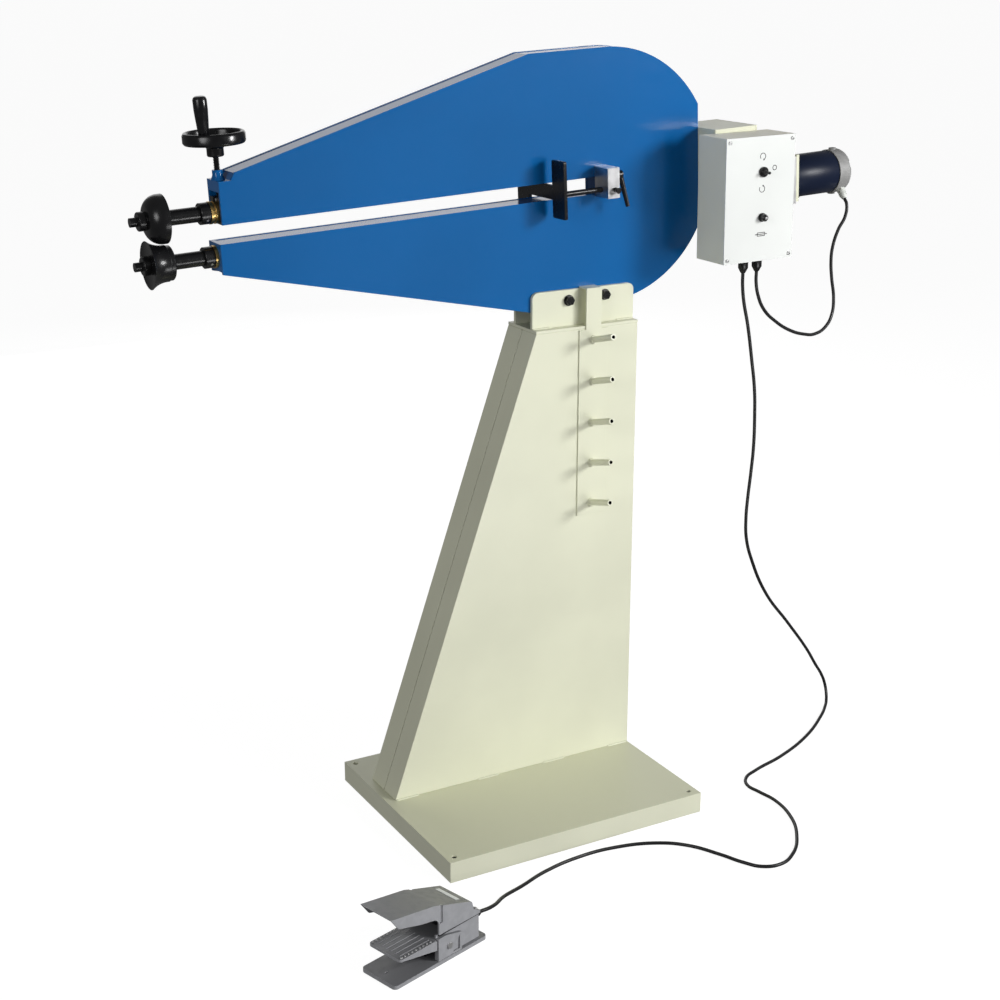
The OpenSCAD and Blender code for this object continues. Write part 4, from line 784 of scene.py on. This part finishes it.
def add_fuse_tip():
    """The bright tip in the fuse cap, which turns with it."""
    low, high = span("fuse_cap", PANEL)
    middle = (low + high) / 2
    bm = bmesh.new()
    turned_body(bm, FUSE_DOME, placed(middle.x, low.y + FUSE_DOME_SINK, middle.z, TO_OPERATOR))
    finished("fuse_tip", bm, "plain_steel", "fuse", PANEL)


# Radius, height and, for a socket head, key of the drive's fasteners, and their places
COVER_SCREW = (4.5, 3)
COVER_INSET = 9
BELL_SCREW = (4, 2.6)
BELL_SCREW_OUT = 29
MOUNT_BOLT = (6, 7, 2.9)
MOUNT_INSET = 11
REDUCER_FLANGE = 10
BRUSH_CAP = (5.2, 2.2)
BRUSH_CAP_SINK = 1.8
BRUSH_CAP_SHARE = 0.4


def add_drive_screws():
    """Screws of the gear case cover and of the motor's end bell."""
    bm = bmesh.new()
    low, high = span("gear_case_cover", SHAFT)
    middle = (low + high) / 2
    near, far = low.y + COVER_INSET, high.y - COVER_INSET
    bottom, top = low.z + COVER_INSET, high.z - COVER_INSET
    for y, z in ((near, bottom), (near, middle.z), (near, top), (middle.y, top), (far, top)):
        cross_head(bm, placed(high.x, y, z, TO_MOTOR), *COVER_SCREW)
    bell_end = span("motor_end_bell", SHAFT)[1].x
    for y in (-BELL_SCREW_OUT, BELL_SCREW_OUT):
        cross_head(bm, placed(bell_end, y, 0, TO_MOTOR), *BELL_SCREW)
    finished("drive_screws", bm, "plain_steel", "stand", SHAFT)


def add_mount_bolts():
    """Socket screws of the motor's plate and of the reducer's flange."""
    bm = bmesh.new()
    low, high = span("motor_mount_plate", SHAFT)
    flange_low, flange_high = span("gear_reducer", SHAFT)
    flange_x = flange_low.x + REDUCER_FLANGE
    for y in (low.y + MOUNT_INSET, high.y - MOUNT_INSET):
        for z in (low.z + MOUNT_INSET, high.z - MOUNT_INSET):
            socket_head(bm, placed(high.x, y, z, TO_MOTOR), *MOUNT_BOLT)
        for z in (flange_low.z + MOUNT_INSET, flange_high.z - MOUNT_INSET):
            socket_head(bm, placed(flange_x, y, z, TO_MOTOR), *MOUNT_BOLT)
    finished("mount_bolts", bm, "black_steel", "stand", SHAFT)


def add_brush_caps():
    """The caps over the motor's brushes, below and above its end bell."""
    bm = bmesh.new()
    low, high = span("motor_end_bell", SHAFT)
    x = low.x + BRUSH_CAP_SHARE * (high.x - low.x)
    for up, z in ((-1, low.z + BRUSH_CAP_SINK), (1, high.z - BRUSH_CAP_SINK)):
        cross_head(bm, placed(x, 0, z, (0, 0, up)), *BRUSH_CAP)
    finished("brush_caps", bm, "black_plastic", "stand", SHAFT)


# Places on the pedal in millimetres from its pin: along it to the heel, across it to the left, and up
HOOD_FALL = Vector((74, 0, -24)).normalized()
PLATE_AT = (41, 1.5, 73.6)
PLATE_SIZE = (12, 56, 1)
HEEL_SCREWS = ((79.5, -36.5, 41), (79.5, 36.5, 41))
HEEL_UP = (0.468, 0, 0.884)
HEEL_SCREW = (4, 3)
RIB_COUNT = 6
RIB_SPREAD = 62
RIB_SIZE = (76, 3, 2)
RIB_START = 10
RIB_SINK = 1
RIB_ROUND = 0.7
STUD_DOME = [(0, 1.3), (1.1, 1.1), (1.9, 0.5), (2.1, 0), (2.1, -0.6), (0, -0.6)]
STUD_COUNT = 9
STUD_STEP = 9.5
STUD_START = (-121, 39.5, 25)
GASKET_X = (-24, 87)
GASKET_Y = (38.6, 42)
GASKET_TOP = 31
GASKET_T = 1.6
GASKET_DROP = 1.8


def add_bare_plate():
    """A bare plate on the hood's slope."""
    bm = bmesh.new()
    up = Vector((-HOOD_FALL.z, 0, HOOD_FALL.x))
    slope = Matrix((HOOD_FALL, (0, 1, 0), up)).transposed().to_4x4()
    put(bm, block(*PLATE_SIZE), Matrix.Translation(PLATE_AT) @ slope)
    finished("bare_plate", bm, "white_panel", "stand", PEDAL)


def add_heel_screws():
    """The two screws on the heel's slope."""
    bm = bmesh.new()
    for spot in HEEL_SCREWS:
        cross_head(bm, placed(*spot, HEEL_UP), *HEEL_SCREW)
    finished("heel_screws", bm, "plain_steel", "stand", PEDAL)


def add_treadle_ribs():
    """Rounded ribs along the tread."""
    bm = bmesh.new()
    low, high = span("pedal_treadle", PEDAL)
    x = low.x + RIB_START + RIB_SIZE[0] / 2
    for k in range(RIB_COUNT):
        y = -RIB_SPREAD / 2 + RIB_SPREAD * k / (RIB_COUNT - 1)
        rib = block(*RIB_SIZE)
        bmesh.ops.bevel(
            rib, geom=rib.edges[:], offset=RIB_ROUND, segments=2, profile=0.5, affect="EDGES", material=-1,
        )
        put(bm, rib, Matrix.Translation((x, y, high.z - RIB_SINK)))
    finished("treadle_ribs", bm, "grey_casting", "treadle", PEDAL)


def add_tread_studs():
    """Bright domed studs down both edges of the tread."""
    x, y, z = STUD_START
    bm = bmesh.new()
    for k in range(STUD_COUNT):
        for side in (-y, y):
            turned_body(bm, STUD_DOME, placed(x + k * STUD_STEP, side, z), steps=16)
    finished("tread_studs", bm, "plain_steel", "treadle", PEDAL)


def add_hood_gasket():
    """A rubber strip under the hood's skirts, thicker towards the mouth."""
    front, back = GASKET_X
    inner, outer = GASKET_Y
    bm = bmesh.new()
    for side in (-1, 1):
        strip = block(back - front, outer - inner, GASKET_T)
        mouth = [vert for vert in strip.verts if vert.co.x < 0 and vert.co.z < 0]
        bmesh.ops.translate(strip, vec=(0, 0, -GASKET_DROP), verts=mouth)
        middle = ((front + back) / 2, side * (inner + outer) / 2, GASKET_TOP - GASKET_T / 2)
        put(bm, strip, Matrix.Translation(middle))
    finished("hood_gasket", bm, "black_plastic", "stand", PEDAL)


# Camera, fitted to the base tray, the column and the control box
CAMERA_AT = (-1.761, -3.050, 1.858)
CAMERA_YAW = math.radians(29.28)
CAMERA_DROP = math.radians(18.02)
CAMERA_LENS = 61.6
SENSOR = 36


def add_camera():
    """The camera at the photograph's viewing angle."""
    data = bpy.data.cameras.new("photo_camera")
    data.sensor_width = SENSOR
    data.lens = CAMERA_LENS
    camera = bpy.data.objects.new("photo_camera", data)
    flat = math.cos(CAMERA_DROP)
    ahead = Vector((math.sin(CAMERA_YAW) * flat, math.cos(CAMERA_YAW) * flat, -math.sin(CAMERA_DROP)))
    camera.location = CAMERA_AT
    camera.rotation_euler = ahead.to_track_quat("-Z", "Y").to_euler()
    bpy.context.scene.collection.objects.link(camera)
    bpy.context.scene.camera = camera


# The studio: colours of its floor and of the dark under the tray, the floor's half length in metres,
# its glow, and the strength of the sky as a light and as it is seen
WHITE = (1, 1, 1)
PAPER = (0.22, 0.22, 0.22)
DARK = (0.02, 0.02, 0.02)
FLOOR_HALF = 60
FLOOR_SINK = 0.5 * MM
FLOOR_GLOW = 0.92
SHADE_SHARE = 0.97
SHADE_SINK = 0.2 * MM
SKY_LIGHT = 0.14
SKY_SEEN = 1.0
# What the lamps point at
OBJECT_MIDDLE = (0.1, 0, 0.9)


def stage_card(name, bm, colour, sink):
    """A flat card of the studio, a little below the floor's level, and its shader."""
    mesh = bpy.data.meshes.new(name)
    bm.to_mesh(mesh)
    bm.free()
    material = bpy.data.materials.new(name)
    material.use_nodes = True
    shader = material.node_tree.nodes["Principled BSDF"]
    shader.inputs["Base Color"].default_value = rgba(colour)
    mesh.materials.append(material)
    card = bpy.data.objects.new(name, mesh)
    card.location = (0, 0, -sink)
    bpy.context.scene.collection.objects.link(card)
    return card, shader


def add_floor():
    """A pale floor with an even glow, and the shade in the hollow under the base tray."""
    bm = bmesh.new()
    bmesh.ops.create_grid(bm, x_segments=2, y_segments=2, size=FLOOR_HALF)
    floor, shader = stage_card("studio_floor", bm, PAPER, FLOOR_SINK)
    shader.inputs["Roughness"].default_value = 0.9
    shader.inputs["Emission Color"].default_value = rgba(WHITE)
    shader.inputs["Emission Strength"].default_value = FLOOR_GLOW
    floor.visible_diffuse = False
    floor.visible_glossy = False
    low, high = span("base_tray")
    size = (high - low) * SHADE_SHARE * MM
    bm = bmesh.new()
    bmesh.ops.create_grid(bm, x_segments=1, y_segments=1, size=0.5)
    bm.transform(Matrix.Diagonal((size.x, size.y, 1, 1)))
    stage_card("tray_shade", bm, DARK, SHADE_SINK)


def add_sky():
    """An even sky, white where it is seen and dim as a light."""
    world = bpy.data.worlds.new("studio_sky")
    world.use_nodes = True
    tree = world.node_tree
    sky = tree.nodes["Background"]
    sky.inputs["Color"].default_value = rgba(WHITE)
    seen = tree.nodes.new("ShaderNodeLightPath")
    strength = tree.nodes.new("ShaderNodeMapRange")
    strength.inputs["To Min"].default_value = SKY_LIGHT
    strength.inputs["To Max"].default_value = SKY_SEEN
    tree.links.new(seen.outputs["Is Camera Ray"], strength.inputs["Value"])
    tree.links.new(strength.outputs[0], sky.inputs["Strength"])
    bpy.context.scene.world = world


def add_light(name, place, aim, size, power, diffuse=True, mirrored=True):
    """A round area lamp, which may leave out matt surfaces or mirrored ones."""
    data = bpy.data.lights.new(name, "AREA")
    data.shape = "DISK"
    data.size = size
    data.energy = power
    lamp = bpy.data.objects.new(name, data)
    lamp.location = place
    lamp.rotation_euler = (Vector(aim) - Vector(place)).to_track_quat("-Z", "Y").to_euler()
    lamp.visible_camera = False
    lamp.visible_diffuse = diffuse
    lamp.visible_glossy = mirrored
    bpy.context.scene.collection.objects.link(lamp)


def add_lights():
    """A soft key light from the front right, fills, and cards that only reflections show."""
    add_light("key", (2.6, -2.95, 2.35), OBJECT_MIDDLE, 1.1, 106)
    add_light("front_card", (2.3, -4.8, 0.8), OBJECT_MIDDLE, 2.5, 112, mirrored=False)
    add_light("fill", (-5.0, -2.5, 2.6), OBJECT_MIDDLE, 2.5, 82)
    add_light("floor_card", (0.55, -2.2, 0.02), (0.55, -2.2, 5), 1.2, 30, diffuse=False)
    add_light("back_fill", (0.2, 5.0, 0.8), OBJECT_MIDDLE, 3, 80, mirrored=False)
    add_light("back_card", (1.5, 4.5, 2.5), OBJECT_MIDDLE, 5, 62, diffuse=False)
    bpy.context.scene.view_settings.view_transform = "Standard"


# The cords' diameter and routes from gland to gland, in millimetres
CORD_D = 7.6
MOTOR_CORD = [
    (898.0, 52.5, 1293.3), (898.5, 44.3, 1282.0), (892, 39, 1254), (873, 38, 1225), (856, 35, 1183),
    (852, 32, 1150), (853, 28, 1117), (857, 21, 1067), (849, 14, 1033), (825, 4, 1008), (783, -8, 996),
    (740, -18, 1002), (692, -28, 1018), (639, -40, 1047), (598, -50, 1079), (575, -57, 1112),
    (564.3, -60, 1147.0), (563.9, -60, 1171.0),
]
PEDAL_CORD = [
    (526.9, -60, 1170.4), (527.3, -60, 1146.4), (532, -60, 1110), (547, -60, 1050), (562, -60, 972),
    (574, -60, 900), (578, -60, 840), (579, -60, 764), (575, -60, 705), (569, -60, 640), (567, -60, 596),
    (573, -57, 545), (600, -48, 480), (664, -25, 380), (763, 6, 272), (850, 34, 175), (895, 51.5, 119),
    (932.2, 65.5, 72.8), (943, 66.8, 51), (943.9, 59.2, 29), (934.5, 45.1, 11.5), (915, 26, 4.8),
    (869, -13, 4), (758, -88, 4), (641, -141, 4), (545, -170, 4), (502, -190, 4), (482, -222, 4),
    (486, -262, 4), (492, -310, 4), (476, -387, 4), (434, -462, 4), (372, -524, 4), (326, -543, 4),
    (286, -532, 4), (261, -498, 4), (239, -449, 4), (200, -382, 4), (150, -342, 4), (56, -312, 4),
    (-34, -309, 4), (-124, -326, 4.6), (-200, -358, 8), (-260, -394, 22), (-328.2, -454.2, 47),
    (-356.9, -463.0, 51),
]


def cord(name, route, node):
    """A flex from gland to gland, on one smooth curve through the route."""
    data = bpy.data.curves.new(name, "CURVE")
    data.dimensions = "3D"
    data.bevel_depth = CORD_D / 2 * MM
    data.bevel_resolution = 4
    data.resolution_u = 10
    spline = data.splines.new("BEZIER")
    spline.bezier_points.add(len(route) - 1)
    for knot, point in zip(spline.bezier_points, route):
        knot.co = Vector(point) * MM
        knot.handle_left_type = "AUTO"
        knot.handle_right_type = "AUTO"
    data.materials.append(FINISHES["black_cord"].material)
    piece = bpy.data.objects.new(name, data)
    bpy.context.scene.collection.objects.link(piece)
    bpy.context.view_layer.update()
    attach(piece, "stand")
    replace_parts(piece, node)


dress_nodes()
add_camera()
add_floor()
add_sky()
add_lights()
cord("motor_flex", MOTOR_CORD, "motor_cord")
cord("pedal_flex", PEDAL_CORD, "pedal_cord")
add_screw()
add_spring()
add_welds()
add_rim_facings()
add_peg_bores()
add_set_screws()
add_panel_marks()
add_panel_screws()
add_fuse_tip()
add_drive_screws()
add_mount_bolts()
add_brush_caps()
add_bare_plate()
add_heel_screws()
add_treadle_ribs()
add_tread_studs()
add_hood_gasket()
